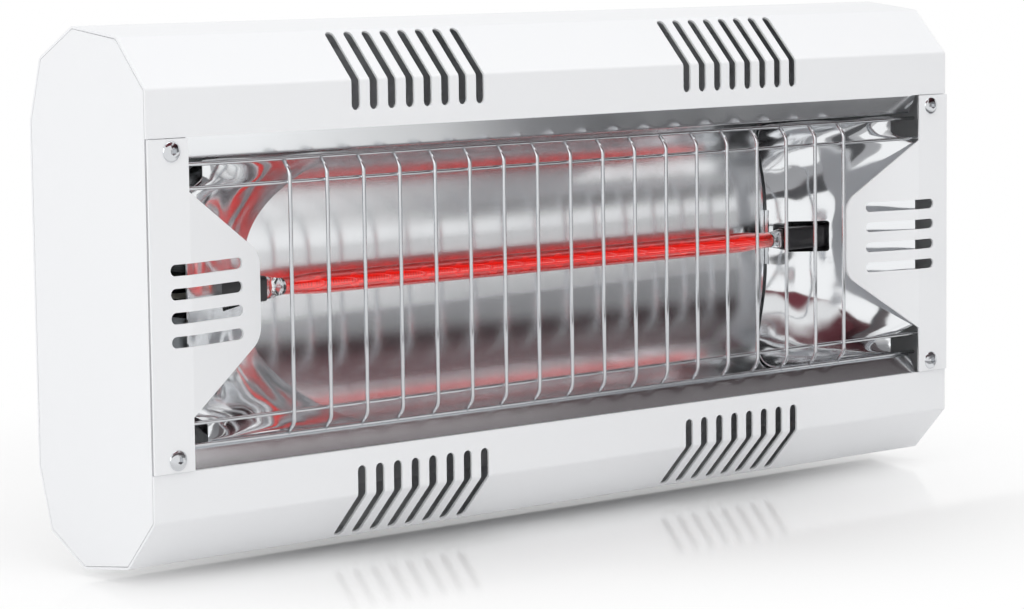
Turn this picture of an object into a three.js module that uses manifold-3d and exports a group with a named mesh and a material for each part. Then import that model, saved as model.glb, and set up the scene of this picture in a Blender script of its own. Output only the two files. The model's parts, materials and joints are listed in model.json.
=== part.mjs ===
// Wall-mounted electric bar heater: a folded sheet housing round a polished reflector and a quartz
// lamp, behind a welded wire guard, hung on a tilting wall bracket.
// Millimetres. X runs along the lamp, the heater faces -Y, +Z is up.
// The origin is the middle of the wall plate's back face, where it lies on the wall.
import * as THREE from 'three';
import { mergeVertices } from 'three/addons/utils/BufferGeometryUtils.js';
import Module from 'manifold-3d';

const wasm = await Module();
wasm.setup();

// ---- Driving dimensions -------------------------------------------------------------------
// Housing. Its own frame has y = 0 on the front plane, growing to the back, and z = 0 at mid height.
const HOUSING_LENGTH = 543.5;
const HOUSING_DEPTH = 96;
const HOUSING_HEIGHT = 257.6;
const SHEET = 1.2;
const FOLD_RADIUS = 1.6;            // inside radius of a fold in the painted sheet
const FRONT_STRIP = 22.8;           // flat strip above and below the front opening
const FRONT_CHAMFER_DEPTH = 22.2;
const FRONT_CHAMFER_RISE = 23.8;
const TOP_FACET_RISE = 4.5;         // the top facet climbs a little to the back
const BACK_SLOPE_DEPTH = 28;
const BACK_SLOPE_DROP = 15.3;
const BACK_CORNER_DEPTH = 9.6;
const BACK_CORNER_DROP = 30.4;
const CLEARANCE = 0.3;              // between pieces that lie against each other

// Vent slots, in a row each side of the middle on the top and the bottom front fold.
const VENT_COUNT = 8;
const VENT_PITCH = 11.19;
const VENT_WIDTH = 5.3;
const VENT_NEAREST = 71;            // the slot nearest the middle
const VENT_ON_STRIP = 14.5;         // from the fold to the rounded tip on the front strip
const VENT_ON_CHAMFER = 30.8;       // from the fold to the rounded tip on the chamfer

// End plates and the covers over the ends of the front opening.
const FLANGE_WIDTH = 12;
const TAB_WIDTH = 20;               // the flange is wider where the cover screws go in
const TAB_HEIGHT = 13.5;
const BEZEL_WIDTH = 22.7;
const WING_ANGLE = THREE.MathUtils.degToRad(13);
const WING_REACH = 48.8;
const WING_TIP_HALF = 20.5;         // half height of the wing's tip before its corners are rounded
const WING_TIP_RADIUS = 12;
const COVER_SLOT_COUNT = 4;
const COVER_SLOT_PITCH = 11.15;
const COVER_SLOT_WIDTH = 5.4;
const COVER_SLOT_OUTER = 8.9;       // arc centre outside the fold
const COVER_SLOT_INNER = 33.2;      // arc centre inside the fold
const COVER_SCREW_FROM_FOLD = 9.5;
const COVER_SCREW_INSET = 6.2;      // below the edge of the front strip
const COVER_SCREW_HEAD = 10;
const COVER_SCREW_RISE = 3;
const COVER_SCREW_RIM = 0.75;       // upright edge under the dome
const COVER_SCREW_SHANK = 4.8;
const COVER_SCREW_LENGTH = 8;
const COVER_SCREW_SOCKET = 3;       // across flats
const COVER_SCREW_FLOOR = 1.35;     // from the seat to the bottom of the socket

// Reflector: one trough with folded lips and curved walls, and a bent sheet at each end.
const MIRROR_SHEET = 0.8;
const MIRROR_FOLD_RADIUS = 0.8;
const MIRROR_FLANGE = 7.6;          // hidden behind the front strip
const LIP_DEPTH = 7.2;
const LIP_HEIGHT = 10.7;
const TROUGH_DEPTH = 52;
const TROUGH_BACK = 30;             // height of the flat strip at the back
const TROUGH_END_GAP = 22;          // from the cover's fold to the end of the trough's walls
const END_MIRROR_FRONT = 2;
const END_MIRROR_BACK = 50;
const END_MIRROR_RUN = 69;          // how far the end sheet reaches in from the fold at the back
const END_MIRROR_LIP_RUN = 106;     // how far it reaches in under the lips
const END_MIRROR_CORNER = 14;       // under the lips it stops this far short of the fold
const END_MIRROR_INSET = 1.8;       // from the trough's wall to its reflecting face
const END_MIRROR_FOOT = 10;
const END_MIRROR_TAB_LOW = 28;      // the front tabs clear the cover slots
const WINDOW_FROM = 40;             // the lamp's cut-out, from the fold
const WINDOW_TO = 61;
const WINDOW_MARGIN = 2.3;          // above and below the lamp's cap

// Wire guard.
const WIRE = 2;
const GUARD_PITCH = 22.3;
const GUARD_RAIL_INSET = 22.95;     // front rails, from the edge of the front strip
const GUARD_BEND_INSET = 17.85;     // where the uprights turn back
const GUARD_OUTER_INSET = 12.1;     // outer rails
const GUARD_RETURN = 5;             // how far the uprights reach back to the outer rails
const GUARD_BEND_RADIUS = 6;
const GUARD_DROP = 1;               // the guard hangs low in its play
const GUARD_RAIL_PAST_FOLD = 13;
const GUARD_OUTER_PAST_FOLD = 2.5;
const WELD = 0.15;                  // crossed wires sink this far into each other

// Lamp.
const LAMP_DEPTH = 37;              // axis behind the front plane
const TUBE_DIAMETER = 10.8;
const TUBE_WALL = 1.2;
const TUBE_FROM_FOLD = 81;          // end of the round glass
const PINCH_LENGTH = 21;
const PINCH_THICKNESS = 3.6;
const PINCH_TAPER = 7;
const CAP_FROM_FOLD = 69;
const CAP_LENGTH = 42;
const CAP_CORNER = 2;
const CAP_EDGE_WALL = 0.5;          // ceramic above and below the pinch
const CAP_SIDE_WALL = 2.4;          // ceramic in front of and behind the pinch
const COIL_DIAMETER = 4;
const COIL_WIRE = 0.9;
const COIL_TURNS = 24;
const COIL_TAIL = 10.8;             // straight wire at each end of the coil
const COIL_SUPPORTS = 14;
const SUPPORT_WIRE = 0.6;

// Lamp holders and wiring.
const HOLDER_FROM_FOLD = 46.5;
const HOLDER_LENGTH = 24;
const HOLDER_WALL = 4.5;            // above and below the cap
const HOLDER_FRONT = 36.5;
const HOLDER_CHAMFER = 1.5;
const HOLDER_SCREW = 4;
const HOLDER_SCREW_STOP = 3;        // from the screw's tip to the cap's bed
const LEAD = 2.6;
const LEAD_SWEEP = 13;              // how far past the trough's end a lead swings
const LEAD_BEHIND = 20;             // the long lead's run, behind the trough's back strip
const LEAD_RISE = 8;                // and above the lamp's axis
const TERMINAL_X = 186;
const TERMINAL_LENGTH = 32;
const TERMINAL_DEPTH = 18;
const TERMINAL_POLES = 3;
const TERMINAL_PITCH = 12;
const TERMINAL_SCREW = 4.2;
const TERMINAL_SCREW_INSET = 5;
const TERMINAL_GROOVE = 1.6;        // between two poles
const TERMINAL_GROOVE_DEPTH = 4;
const TERMINAL_FLOOR = 12.5;        // entry axis, in front of the housing's back sheet
const ENTRY_GRIP = 7;               // how far a lead goes into its terminal
const EARTH_X = 128;
const EARTH_Z = -26;
const EARTH_STUD = 5;
const EARTH_STUD_LENGTH = 12;
const EARTH_HEAD = 3;
const EARTH_TAG = 1;
const EARTH_TAG_NECK = 4;
const EARTH_TAG_FROM_BACK = 4.4;    // its middle, from the inside of the back sheet
const NUT_ACROSS = 8;               // nuts and head of the M5 screws
const NUT_HEIGHT = 4;
const GLAND_X = 225;
const GLAND_Z = -30;
const GLAND_THREAD = 20;
const GLAND_BORE = 10.4;
const GLAND_HEX = 25;
const GLAND_INSIDE = 8;
const GLAND_FLANGE = 5;
const GLAND_NECK = 9;
const GLAND_CAP_LENGTH = 17;
const GLAND_BARREL = 24;            // diameter of the cap past its six-sided part
const GLAND_NOSE = 4;               // the cap's tapered end
const GLAND_GRIP = 7;               // the cap's six-sided part

// Tilting bracket.
const WALL_GAP = 60;                // from the wall to the housing's back
const PIVOT_BEHIND = 22;            // pivot axis behind the housing's back
const BRACKET_SHEET = 2.5;
const BRACKET_FOLD_RADIUS = 2.5;
const BRACKET_LENGTH = 232.2;       // over the ears of the piece on the housing
const BACK_PLATE_HEIGHT = 60;
const WALL_PLATE_HEIGHT = 70;
const EAR_RADIUS = 16;
const PIVOT_BOLT = 8;
const PIVOT_HEAD = 13;              // across flats
const PIVOT_HEAD_HEIGHT = 5;
const PIVOT_PAST_NUT = 4;
const WASHER_DIAMETER = 20;
const WASHER_THICKNESS = 1.2;
const WING_NUT_LENGTH = 9;
const WING_NUT_FOOT = 8;            // radius of the hub where it meets the washer
const WING_NUT_NOSE = 6.2;
const WING_THICKNESS = 2.6;
const WING_OUTLINE = [[1, 0], [3.5, 15], [11, 19], [14, 11], [7.5, 0]];
const WING_CORNER = 2.5;
const BRACKET_SCREW = 5;
const BRACKET_SCREW_LENGTH = 11;
const BRACKET_SCREW_X = 60;
const BRACKET_SCREW_Z = 18;
const WALL_SLOT_X = 80;
const WALL_SLOT_Z = 21;
const WALL_SLOT_WIDTH = 6.5;
const WALL_SLOT_LENGTH = 18;
const REAR_SCREW_Z = 60;
const REAR_SCREW = 4;
const REAR_SCREW_LENGTH = 5;

// A pan head, in parts of its thread's diameter.
const PAN_RADIUS = 0.95;
const PAN_HEIGHT = 0.6;
const PAN_TAPER = 0.8;              // of the head's own radius, at its top
const PAN_SLOT = 0.2;

// How far a cutter passes the faces it cuts.
const PAST = 1;
const PAST_BACK = 6;                // through every sheet at the housing's back

// Corners nearer than this are one corner.
const SAME_POINT = 0.0001;

// How finely round forms are cut into flats.
const ROUND = 12;                   // sides of a rod, a hole or a turned piece
const WIRE_SIDES = 6;
const TUBE_SIDES = 16;              // sides of the lamp's glass, a multiple of four
const SMALL_SIDES = 8;              // sides of the terminal block's holes
const FOLD_STEPS = 2;
const TROUGH_STEPS = 8;             // in the curve of one trough wall
const GENTLE_TURN = THREE.MathUtils.degToRad(15);   // a smaller turn is a step of a curve, not a fold
const EAR_STEPS = 5;                // in a quarter of a bracket ear's round end
const TIP_STEPS = 3;                // in the half circle at the end of a slot
const WING_TIP_STEPS = 5;
const DOME_STEPS = 3;               // in the dome of a screw's head
const PINCH_STEPS = 3;              // from the round tube to the flat pinch
const COIL_STEPS = 8;               // in one turn of the coil
const COIL_SIDES = 4;
const LEAD_STEPS = 24;
const LONG_LEAD_STEPS = 52;
const SHORT_LEAD_STEPS = 16;

// ---- Sizes that follow --------------------------------------------------------------------
const HALF_LENGTH = HOUSING_LENGTH / 2;
const HALF_HEIGHT = HOUSING_HEIGHT / 2;
const FRONT_HALF = HALF_HEIGHT - TOP_FACET_RISE - FRONT_CHAMFER_RISE;
const OPENING_HALF = FRONT_HALF - FRONT_STRIP;
const FOLD_X = HALF_LENGTH - BEZEL_WIDTH;
const BEHIND_SHEET = SHEET + CLEARANCE;
const BACK_INSIDE = HOUSING_DEPTH - SHEET - CLEARANCE;
const LIP_EDGE = OPENING_HALF - LIP_HEIGHT;
const TROUGH_HALF_LENGTH = FOLD_X - TROUGH_END_GAP;
const RAIL_HALF = OPENING_HALF - GUARD_RAIL_INSET;
const RAIL_Y = BEHIND_SHEET + WIRE / 2;
const UPRIGHT_Y = RAIL_Y - WIRE + WELD;
const OUTER_RAIL_HALF = OPENING_HALF - GUARD_OUTER_INSET;
const OUTER_RAIL_Y = UPRIGHT_Y + GUARD_RETURN;
const TUBE_END = FOLD_X - TUBE_FROM_FOLD;
const CAP_START = FOLD_X - CAP_FROM_FOLD;
const CAP_END = CAP_START + CAP_LENGTH;
const CAP_HEIGHT = TUBE_DIAMETER + 2 * (CLEARANCE + CAP_EDGE_WALL);
const CAP_THICKNESS = PINCH_THICKNESS + 2 * (CLEARANCE + CAP_SIDE_WALL);
const HOLDER_HEIGHT = CAP_HEIGHT + 2 * (CLEARANCE + HOLDER_WALL);
const PIVOT_Y = HOUSING_DEPTH + PIVOT_BEHIND;
const WALL_Y = HOUSING_DEPTH + WALL_GAP;
const BRACKET_HALF = BRACKET_LENGTH / 2;
const WALL_EAR_INSIDE = BRACKET_HALF + WASHER_THICKNESS + 2 * CLEARANCE;
const WALL_EAR_OUTSIDE = WALL_EAR_INSIDE + BRACKET_SHEET;

// ---- Colours and finishes -----------------------------------------------------------------
function finish(color, roughness, metalness) {
  return new THREE.MeshStandardMaterial({ color, roughness, metalness });
}
const whitePaint = finish(0xeaebed, 0.45, 0);
const polishedAluminium = finish(0xc9cbce, 0.12, 1);
const chromedWire = finish(0xb9bbbf, 0.18, 1);
const rubyQuartz = finish(0xb3241c, 0.05, 0);
const clearQuartz = finish(0xb9b4b4, 0.08, 0);
const tungsten = finish(0xff5a2a, 0.5, 1);
const darkCeramic = finish(0x1c1a1a, 0.6, 0);
const paleCeramic = finish(0xd9d4c8, 0.7, 0);
const zincSteel = finish(0x9fa2a6, 0.35, 1);
const blackPlastic = finish(0x202124, 0.5, 0);
const heatLead = finish(0xcfcac0, 0.8, 0);
const earthLeadSleeve = finish(0x6f8f2a, 0.6, 0);
const brass = finish(0xb8954a, 0.35, 1);

// ---- Solids and meshes --------------------------------------------------------------------
function solidOf(geometry) {
  const bare = geometry.clone();
  bare.deleteAttribute('normal');
  bare.deleteAttribute('uv');
  const merged = mergeVertices(bare, SAME_POINT);
  const corners = [];
  for (let i = 0; i < merged.index.count; i += 3) {
    const [a, b, c] = [merged.index.getX(i), merged.index.getX(i + 1), merged.index.getX(i + 2)];
    if (a !== b && b !== c && c !== a) corners.push(a, b, c);
  }
  return new wasm.Manifold(new wasm.Mesh({
    numProp: 3,
    vertProperties: new Float32Array(merged.attributes.position.array),
    triVerts: new Uint32Array(corners),
  }));
}

function geometryOf(solid) {
  const mesh = solid.getMesh();
  const geometry = new THREE.BufferGeometry();
  geometry.setAttribute('position', new THREE.BufferAttribute(mesh.vertProperties, 3));
  geometry.setIndex(new THREE.BufferAttribute(mesh.triVerts, 1));
  const flat = geometry.toNonIndexed();
  flat.computeVertexNormals();
  return flat;
}

function piece(name, solid, material) {
  const mesh = new THREE.Mesh(geometryOf(solid), material);
  mesh.name = name;
  return mesh;
}

// A piece for the right end, and the same piece turned half round about Y for the left end.
function endPair(name, solid, material) {
  const right = piece(`${name}_right`, solid, material);
  const left = piece(`${name}_left`, solid, material);
  left.rotation.y = Math.PI;
  return [right, left];
}

const subtractAll = (solid, cutters) => cutters.reduce((rest, cutter) => rest.subtract(cutter), solid);
const addAll = (solids) => solids.reduce((whole, solid) => whole.add(solid));

// ---- Outlines -----------------------------------------------------------------------------
const point = (x, y) => new THREE.Vector2(x, y);
const mirrorAcross = (points) => points.map((p) => point(p.x, -p.y)).reverse();
const rightOf = (from, to) => {
  const along = to.clone().sub(from).normalize();
  return point(along.y, -along.x);
};

// The path moved sideways, to the right of its direction, with mitred corners.
function offsetPath(points, distance) {
  return points.map((here, i) => {
    const before = rightOf(points[Math.max(i - 1, 0)], points[Math.max(i, 1)]);
    const last = points.length - 1;
    const after = rightOf(points[Math.min(i, last - 1)], points[Math.min(i + 1, last)]);
    const mitre = before.clone().add(after).divideScalar(1 + before.dot(after));
    return here.clone().addScaledVector(mitre, distance);
  });
}

function arcAt(before, corner, after, radius, steps) {
  const back = before.clone().sub(corner).normalize();
  const ahead = after.clone().sub(corner).normalize();
  const half = Math.acos(THREE.MathUtils.clamp(back.dot(ahead), -1, 1)) / 2;
  const centre = back.clone().add(ahead).setLength(radius / Math.sin(half)).add(corner);
  const start = corner.clone().addScaledVector(back, radius / Math.tan(half)).sub(centre);
  const turn = Math.sign(back.cross(ahead)) * -(Math.PI - 2 * half);
  const arc = [];
  for (let i = 0; i <= steps; i += 1) {
    arc.push(start.clone().rotateAround(point(0, 0), (turn * i) / steps).add(centre));
  }
  return arc;
}

// Rounds every fold between the first and the last point. radiusAt gives each fold's radius. A corner
// that turns less than GENTLE_TURN is a step of a curve and stays as it is.
function roundPath(points, radiusAt, steps) {
  return points.flatMap((corner, i) => {
    if (i === 0 || i === points.length - 1) return [corner];
    const into = corner.clone().sub(points[i - 1]);
    const out = points[i + 1].clone().sub(corner);
    if (into.angleTo(out) < GENTLE_TURN) return [corner];
    return arcAt(points[i - 1], corner, points[i + 1], radiusAt(i), steps);
  });
}

// The closed outline of a folded sheet. Its face follows the path and its thickness is to the right.
function sheetOutline(path, thickness, insideRadius, steps) {
  const turnsRight = (i) => {
    const into = path[i].clone().sub(path[i - 1]);
    return into.cross(path[i + 1].clone().sub(path[i])) < 0;
  };
  const outsideRadius = insideRadius + thickness;
  const face = roundPath(path, (i) => (turnsRight(i) ? outsideRadius : insideRadius), steps);
  const other = roundPath(
    offsetPath(path, thickness), (i) => (turnsRight(i) ? insideRadius : outsideRadius), steps);
  return [...face, ...other.reverse()];
}

// A quarter of an oval that leaves its start level and reaches its end upright.
function quarterOval(start, end) {
  return Array.from({ length: TROUGH_STEPS + 1 }, (_, i) => {
    const turn = (Math.PI / 2) * (i / TROUGH_STEPS);
    return point(
      start.x + (end.x - start.x) * Math.sin(turn), end.y + (start.y - end.y) * Math.cos(turn));
  });
}

// A slot along the outline's second axis: square at the start, or round at both ends.
function slotOutline(width, from, to, roundStart) {
  const r = width / 2;
  const tip = (centre, start) => Array.from({ length: TIP_STEPS + 1 }, (_, i) => {
    const angle = start + (Math.PI * i) / TIP_STEPS;
    return point(r * Math.cos(angle), centre + r * Math.sin(angle));
  });
  const foot = roundStart ? tip(from, Math.PI) : [point(-r, from), point(r, from)];
  return [...foot, ...tip(to, 0)];
}

function circleOutline(radius, sides, turn = 0) {
  return Array.from({ length: sides }, (_, i) => {
    const angle = turn + (2 * Math.PI * i) / sides;
    return point(radius * Math.cos(angle), radius * Math.sin(angle));
  });
}

const hexOutline = (acrossFlats) => circleOutline(acrossFlats / Math.sqrt(3), 6);

// An upright box outline with rounded corners.
function roundedBox(halfWidth, halfHeight, radius, steps) {
  const corners = [
    point(halfWidth, -halfHeight), point(halfWidth, halfHeight),
    point(-halfWidth, halfHeight), point(-halfWidth, -halfHeight),
  ];
  const last = corners.length - 1;
  return corners.flatMap((corner, i) => arcAt(
    corners[i > 0 ? i - 1 : last], corner, corners[i < last ? i + 1 : 0], radius, steps));
}

// A round section for a rod, with its corners at the radius.
const rodOutline = (diameter, sides = ROUND) => circleOutline(diameter / 2, sides, Math.PI / sides);

// A round section for a bore or a wire, with its flat sides at the radius.
const boreOutline = (diameter, sides = ROUND) => circleOutline(
  diameter / 2 / Math.cos(Math.PI / sides), sides, Math.PI / sides);

// ---- Extruded, turned and swept forms -----------------------------------------------------
const X = new THREE.Vector3(1, 0, 0);
const Y = new THREE.Vector3(0, 1, 0);
const Z = new THREE.Vector3(0, 0, 1);
const MINUS_Y = new THREE.Vector3(0, -1, 0);

function extruded(outline, depth, across, up, along) {
  const geometry = new THREE.ExtrudeGeometry(
    new THREE.Shape(outline), { depth, bevelEnabled: false, curveSegments: 1 });
  return geometry.applyMatrix4(new THREE.Matrix4().makeBasis(across, up, along));
}

// A (y, z) outline run from x0 to x1.
function alongX(outline, x0, x1) {
  return solidOf(extruded(outline, x1 - x0, Y, Z, X).translate(x0, 0, 0));
}

// An (x, z) outline run from y0 to y1.
function alongY(outline, y0, y1) {
  return solidOf(extruded(outline, y1 - y0, X, Z, MINUS_Y).translate(0, y1, 0));
}

// An (x, y) outline run from z0 to z1.
function alongZ(outline, z0, z1) {
  return solidOf(extruded(outline, z1 - z0, X, Y, Z).translate(0, 0, z0));
}

function block(low, high) {
  const size = high.map((value, i) => value - low[i]);
  const middle = high.map((value, i) => (value + low[i]) / 2);
  return solidOf(new THREE.BoxGeometry(...size).translate(...middle));
}

const blockBetween = (x0, x1, y0, y1, z0, z1) => block(
  [Math.min(x0, x1), y0, Math.min(z0, z1)], [Math.max(x0, x1), y1, Math.max(z0, z1)]);

// Cutters for round holes along Y and along X, with the running clearance already added.
function boreY(diameter, y0, y1, x, z, sides) {
  return alongY(boreOutline(diameter + 2 * CLEARANCE, sides), y0, y1).translate([x, 0, z]);
}

function boreX(diameter, x0, x1, y, z, sides) {
  return alongX(boreOutline(diameter + 2 * CLEARANCE, sides), x0, x1).translate([0, y, z]);
}

// A turned form about Y from [radius, height] pairs, listed upwards round the outside.
function turned(profile, segments) {
  return solidOf(new THREE.LatheGeometry(profile.map(([r, h]) => point(r, h)), segments));
}

// A path through chosen points, each of which gets one ring of the sweep.
class PointPath extends THREE.Curve {
  constructor(points) {
    super();
    this.points = points;
  }

  getPoint(t, target = new THREE.Vector3()) {
    const place = t * (this.points.length - 1);
    const i = Math.min(Math.floor(place), this.points.length - 2);
    return target.lerpVectors(this.points[i], this.points[i + 1], place - i);
  }

  getPointAt(u, target) {
    return this.getPoint(u, target);
  }

  getTangentAt(u, target = new THREE.Vector3()) {
    const last = this.points.length - 1;
    const i = Math.round(u * last);
    const into = this.points[Math.max(i, 1)].clone().sub(this.points[Math.max(i - 1, 0)]);
    const out = this.points[Math.min(i + 1, last)].clone().sub(this.points[Math.min(i, last - 1)]);
    return target.copy(into.normalize()).add(out.normalize()).normalize();
  }
}

function swept(points, diameter, sides) {
  return solidOf(new THREE.ExtrudeGeometry(new THREE.Shape(boreOutline(diameter, sides)), {
    steps: points.length - 1, extrudePath: new PointPath(points), bevelEnabled: false, curveSegments: 1,
  }));
}

// A lofted form: rings with the same number of points, joined in order and closed at both ends.
function lofted(rings) {
  const count = rings[0].length;
  const index = [];
  for (let r = 0; r + 1 < rings.length; r += 1) {
    for (let i = 0; i < count; i += 1) {
      const [a, b] = [r * count + i, r * count + ((i + 1) % count)];
      index.push(a, b, b + count, a, b + count, a + count);
    }
  }
  const lastRing = (rings.length - 1) * count;
  for (let i = 1; i + 1 < count; i += 1) {
    index.push(0, i + 1, i, lastRing, lastRing + i, lastRing + i + 1);
  }
  const geometry = new THREE.BufferGeometry().setFromPoints(rings.flat());
  return solidOf(geometry.setIndex(index));
}

// A thin sheet from level lines listed downwards, each a pair of points from its front edge to its
// back edge. The thickness is added behind them.
function ruledSheet(lines, thickness) {
  return lofted(lines.map(([front, back], i) => {
    const above = lines[Math.max(i - 1, 0)];
    const below = lines[Math.min(i + 1, lines.length - 1)];
    const along = back.clone().sub(front);
    const behind = (end) => below[end].clone().sub(above[end]).cross(along).setLength(thickness);
    return [front, back, back.clone().add(behind(1)), front.clone().add(behind(0))];
  }));
}

// ---- Housing ------------------------------------------------------------------------------
// The outer face of the housing as (y, z) points, from one edge of the front opening round the back
// to the other. reach is the half height at which the front strips end.
function housingProfile(reach) {
  const cornerY = HOUSING_DEPTH - BACK_CORNER_DEPTH;
  const upper = [
    point(0, reach),
    point(0, FRONT_HALF),
    point(FRONT_CHAMFER_DEPTH, FRONT_HALF + FRONT_CHAMFER_RISE),
    point(cornerY - BACK_SLOPE_DEPTH, HALF_HEIGHT),
    point(cornerY, HALF_HEIGHT - BACK_SLOPE_DROP),
    point(HOUSING_DEPTH, HALF_HEIGHT - BACK_SLOPE_DROP - BACK_CORNER_DROP),
  ];
  return [...upper, ...mirrorAcross(upper)];
}

// One vent at x = 0: a slot in the front strip that runs over the fold and up the chamfer.
function ventCutter() {
  const r = VENT_WIDTH / 2;
  const through = 4 * SHEET;
  const overlap = SHEET;
  const strip = alongY(slotOutline(VENT_WIDTH, -overlap, VENT_ON_STRIP - r, false), -through, through)
    .rotate([180, 0, 0]).translate([0, 0, FRONT_HALF]);
  const slope = THREE.MathUtils.radToDeg(Math.atan2(FRONT_CHAMFER_DEPTH, FRONT_CHAMFER_RISE));
  const chamfer = alongY(
    slotOutline(VENT_WIDTH, -overlap, VENT_ON_CHAMFER - r, false), -through, through)
    .rotate([-slope, 0, 0]).translate([0, 0, FRONT_HALF]);
  return strip.add(chamfer);
}

function ventCutters() {
  const top = ventCutter();
  const bottom = top.mirror([0, 0, 1]);
  const cutters = [];
  for (let i = 0; i < VENT_COUNT; i += 1) {
    const x = VENT_NEAREST + i * VENT_PITCH;
    for (const side of [-x, x]) {
      cutters.push(top.translate([side, 0, 0]), bottom.translate([side, 0, 0]));
    }
  }
  return cutters;
}

const fourCorners = (x, z) => [[-x, -z], [-x, z], [x, -z], [x, z]];
const bracketScrewPlaces = fourCorners(BRACKET_SCREW_X, BRACKET_SCREW_Z);
const rearScrewX = HALF_LENGTH - FLANGE_WIDTH / 2;

function backHole(diameter, x, z) {
  return boreY(diameter, HOUSING_DEPTH - PAST_BACK, HOUSING_DEPTH + PAST_BACK, x, z);
}

// The two cover-screw holes at the right end, through the cover and the end plate's tabs.
function coverScrewHoles() {
  return [-1, 1].map((side) => boreY(COVER_SCREW_SHANK, -PAST, BEHIND_SHEET + SHEET + PAST,
    FOLD_X + COVER_SCREW_FROM_FOLD, side * (OPENING_HALF - COVER_SCREW_INSET)));
}

function shell() {
  const outline = sheetOutline(housingProfile(OPENING_HALF), SHEET, FOLD_RADIUS, FOLD_STEPS);
  return subtractAll(alongX(outline, -HALF_LENGTH, HALF_LENGTH), [
    ...ventCutters(),
    ...bracketScrewPlaces.map(([x, z]) => backHole(BRACKET_SCREW, x, z)),
    ...fourCorners(rearScrewX, REAR_SCREW_Z).map(([x, z]) => backHole(REAR_SCREW, x, z)),
    backHole(GLAND_THREAD, GLAND_X, GLAND_Z),
    backHole(EARTH_STUD, EARTH_X, EARTH_Z),
  ]);
}

// A flat plate set inside the housing's end, with a flange round it and two tabs behind the cover.
function endPlate() {
  const tabLow = OPENING_HALF - TAB_HEIGHT;
  const face = offsetPath(housingProfile(tabLow), BEHIND_SHEET);
  const insideRadius = FOLD_RADIUS - SHEET / 2;
  const rim = roundPath(face, () => insideRadius + SHEET, FOLD_STEPS);
  const plate = alongX(rim, HALF_LENGTH - SHEET, HALF_LENGTH);
  const flangeSection = sheetOutline(face, SHEET, insideRadius, FOLD_STEPS);
  const flange = alongX(flangeSection, HALF_LENGTH - FLANGE_WIDTH, HALF_LENGTH);
  const tabs = [-1, 1].map((side) => blockBetween(
    HALF_LENGTH - TAB_WIDTH, HALF_LENGTH, BEHIND_SHEET, BEHIND_SHEET + SHEET,
    side * tabLow, side * (OPENING_HALF + SHEET)));
  const rearHoles = [-1, 1].map((side) => backHole(REAR_SCREW, rearScrewX, side * REAR_SCREW_Z));
  return subtractAll(addAll([plate, flange, ...tabs]), [...coverScrewHoles(), ...rearHoles]);
}

// The cover over the end of the opening: a flat bezel and a slotted wing folded back a little.
function sideCover() {
  const edge = OPENING_HALF - CLEARANCE;
  const bezel = block([FOLD_X, 0, -edge], [HALF_LENGTH, SHEET, edge]);
  const root = RAIL_HALF - WIRE - CLEARANCE;
  const upper = roundPath(
    [point(0, root), point(-WING_REACH, WING_TIP_HALF), point(-WING_REACH, 0)],
    () => WING_TIP_RADIUS, WING_TIP_STEPS).slice(0, -1);
  const wingOutline = [...upper, ...mirrorAcross(upper)];
  const turn = -THREE.MathUtils.radToDeg(WING_ANGLE);
  const onWing = (solid) => solid.rotate([0, 0, turn]).translate([FOLD_X, 0, 0]);
  const wing = onWing(alongY(wingOutline, 0, SHEET));
  const overlap = SHEET / 2;
  const slot = (from, to) => alongY(
    slotOutline(COVER_SLOT_WIDTH, from, to, false), -2 * SHEET, 3 * SHEET);
  const outerSlot = slot(-overlap, COVER_SLOT_OUTER).rotate([0, 90, 0]).translate([FOLD_X, 0, 0]);
  const innerSlot = onWing(slot(-overlap, COVER_SLOT_INNER).rotate([0, -90, 0]));
  const slots = Array.from({ length: COVER_SLOT_COUNT }, (_, i) => {
    const z = (i - (COVER_SLOT_COUNT - 1) / 2) * COVER_SLOT_PITCH;
    return outerSlot.add(innerSlot).translate([0, 0, z]);
  });
  return subtractAll(bezel.add(wing), [...slots, ...coverScrewHoles()]);
}

// The domed cover screw along Y, with its head towards -Y, its seat at y = 0 and a six-sided socket.
function coverScrew() {
  const head = COVER_SCREW_HEAD / 2;
  const shank = COVER_SCREW_SHANK / 2;
  const dome = Array.from({ length: DOME_STEPS }, (_, i) => {
    const angle = (Math.PI / 2) * (i / DOME_STEPS);
    const rise = COVER_SCREW_RISE - COVER_SCREW_RIM;
    return [head * Math.cos(angle), COVER_SCREW_RIM + rise * Math.sin(angle)];
  });
  const outline = [
    [0, -COVER_SCREW_LENGTH], [shank, -COVER_SCREW_LENGTH], [shank, 0], [head, 0],
    ...dome, [0, COVER_SCREW_RISE],
  ];
  const socket = alongY(hexOutline(COVER_SCREW_SOCKET), -COVER_SCREW_RISE - PAST, -COVER_SCREW_FLOOR);
  return turned(outline, ROUND).rotate([180, 0, 0]).subtract(socket);
}

// ---- Reflector ----------------------------------------------------------------------------
const lipEdge = point(LIP_DEPTH, LIP_EDGE);
const backEdge = point(TROUGH_DEPTH, TROUGH_BACK / 2);

function reflectorTrough() {
  const upper = [
    point(BEHIND_SHEET, OPENING_HALF + MIRROR_FLANGE),
    point(BEHIND_SHEET, OPENING_HALF - CLEARANCE),
    ...quarterOval(lipEdge, backEdge),
  ];
  const path = [...upper, ...mirrorAcross(upper)].reverse();
  const half = FOLD_X - CLEARANCE;
  const sheet = alongX(
    sheetOutline(path, MIRROR_SHEET, MIRROR_FOLD_RADIUS, FOLD_STEPS), -half, half);
  const behind = TROUGH_DEPTH + MIRROR_SHEET + PAST;
  const wallEnds = [-1, 1].map((side) => blockBetween(
    side * TROUGH_HALF_LENGTH, side * (FOLD_X + PAST), LIP_DEPTH, behind,
    -OPENING_HALF, OPENING_HALF));
  const holderHoles = [-1, 1].map((side) => boreY(
    HOLDER_SCREW, TROUGH_DEPTH - PAST, behind, side * holderMiddle, 0));
  return subtractAll(sheet, [...wallEnds, ...holderHoles]);
}

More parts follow.
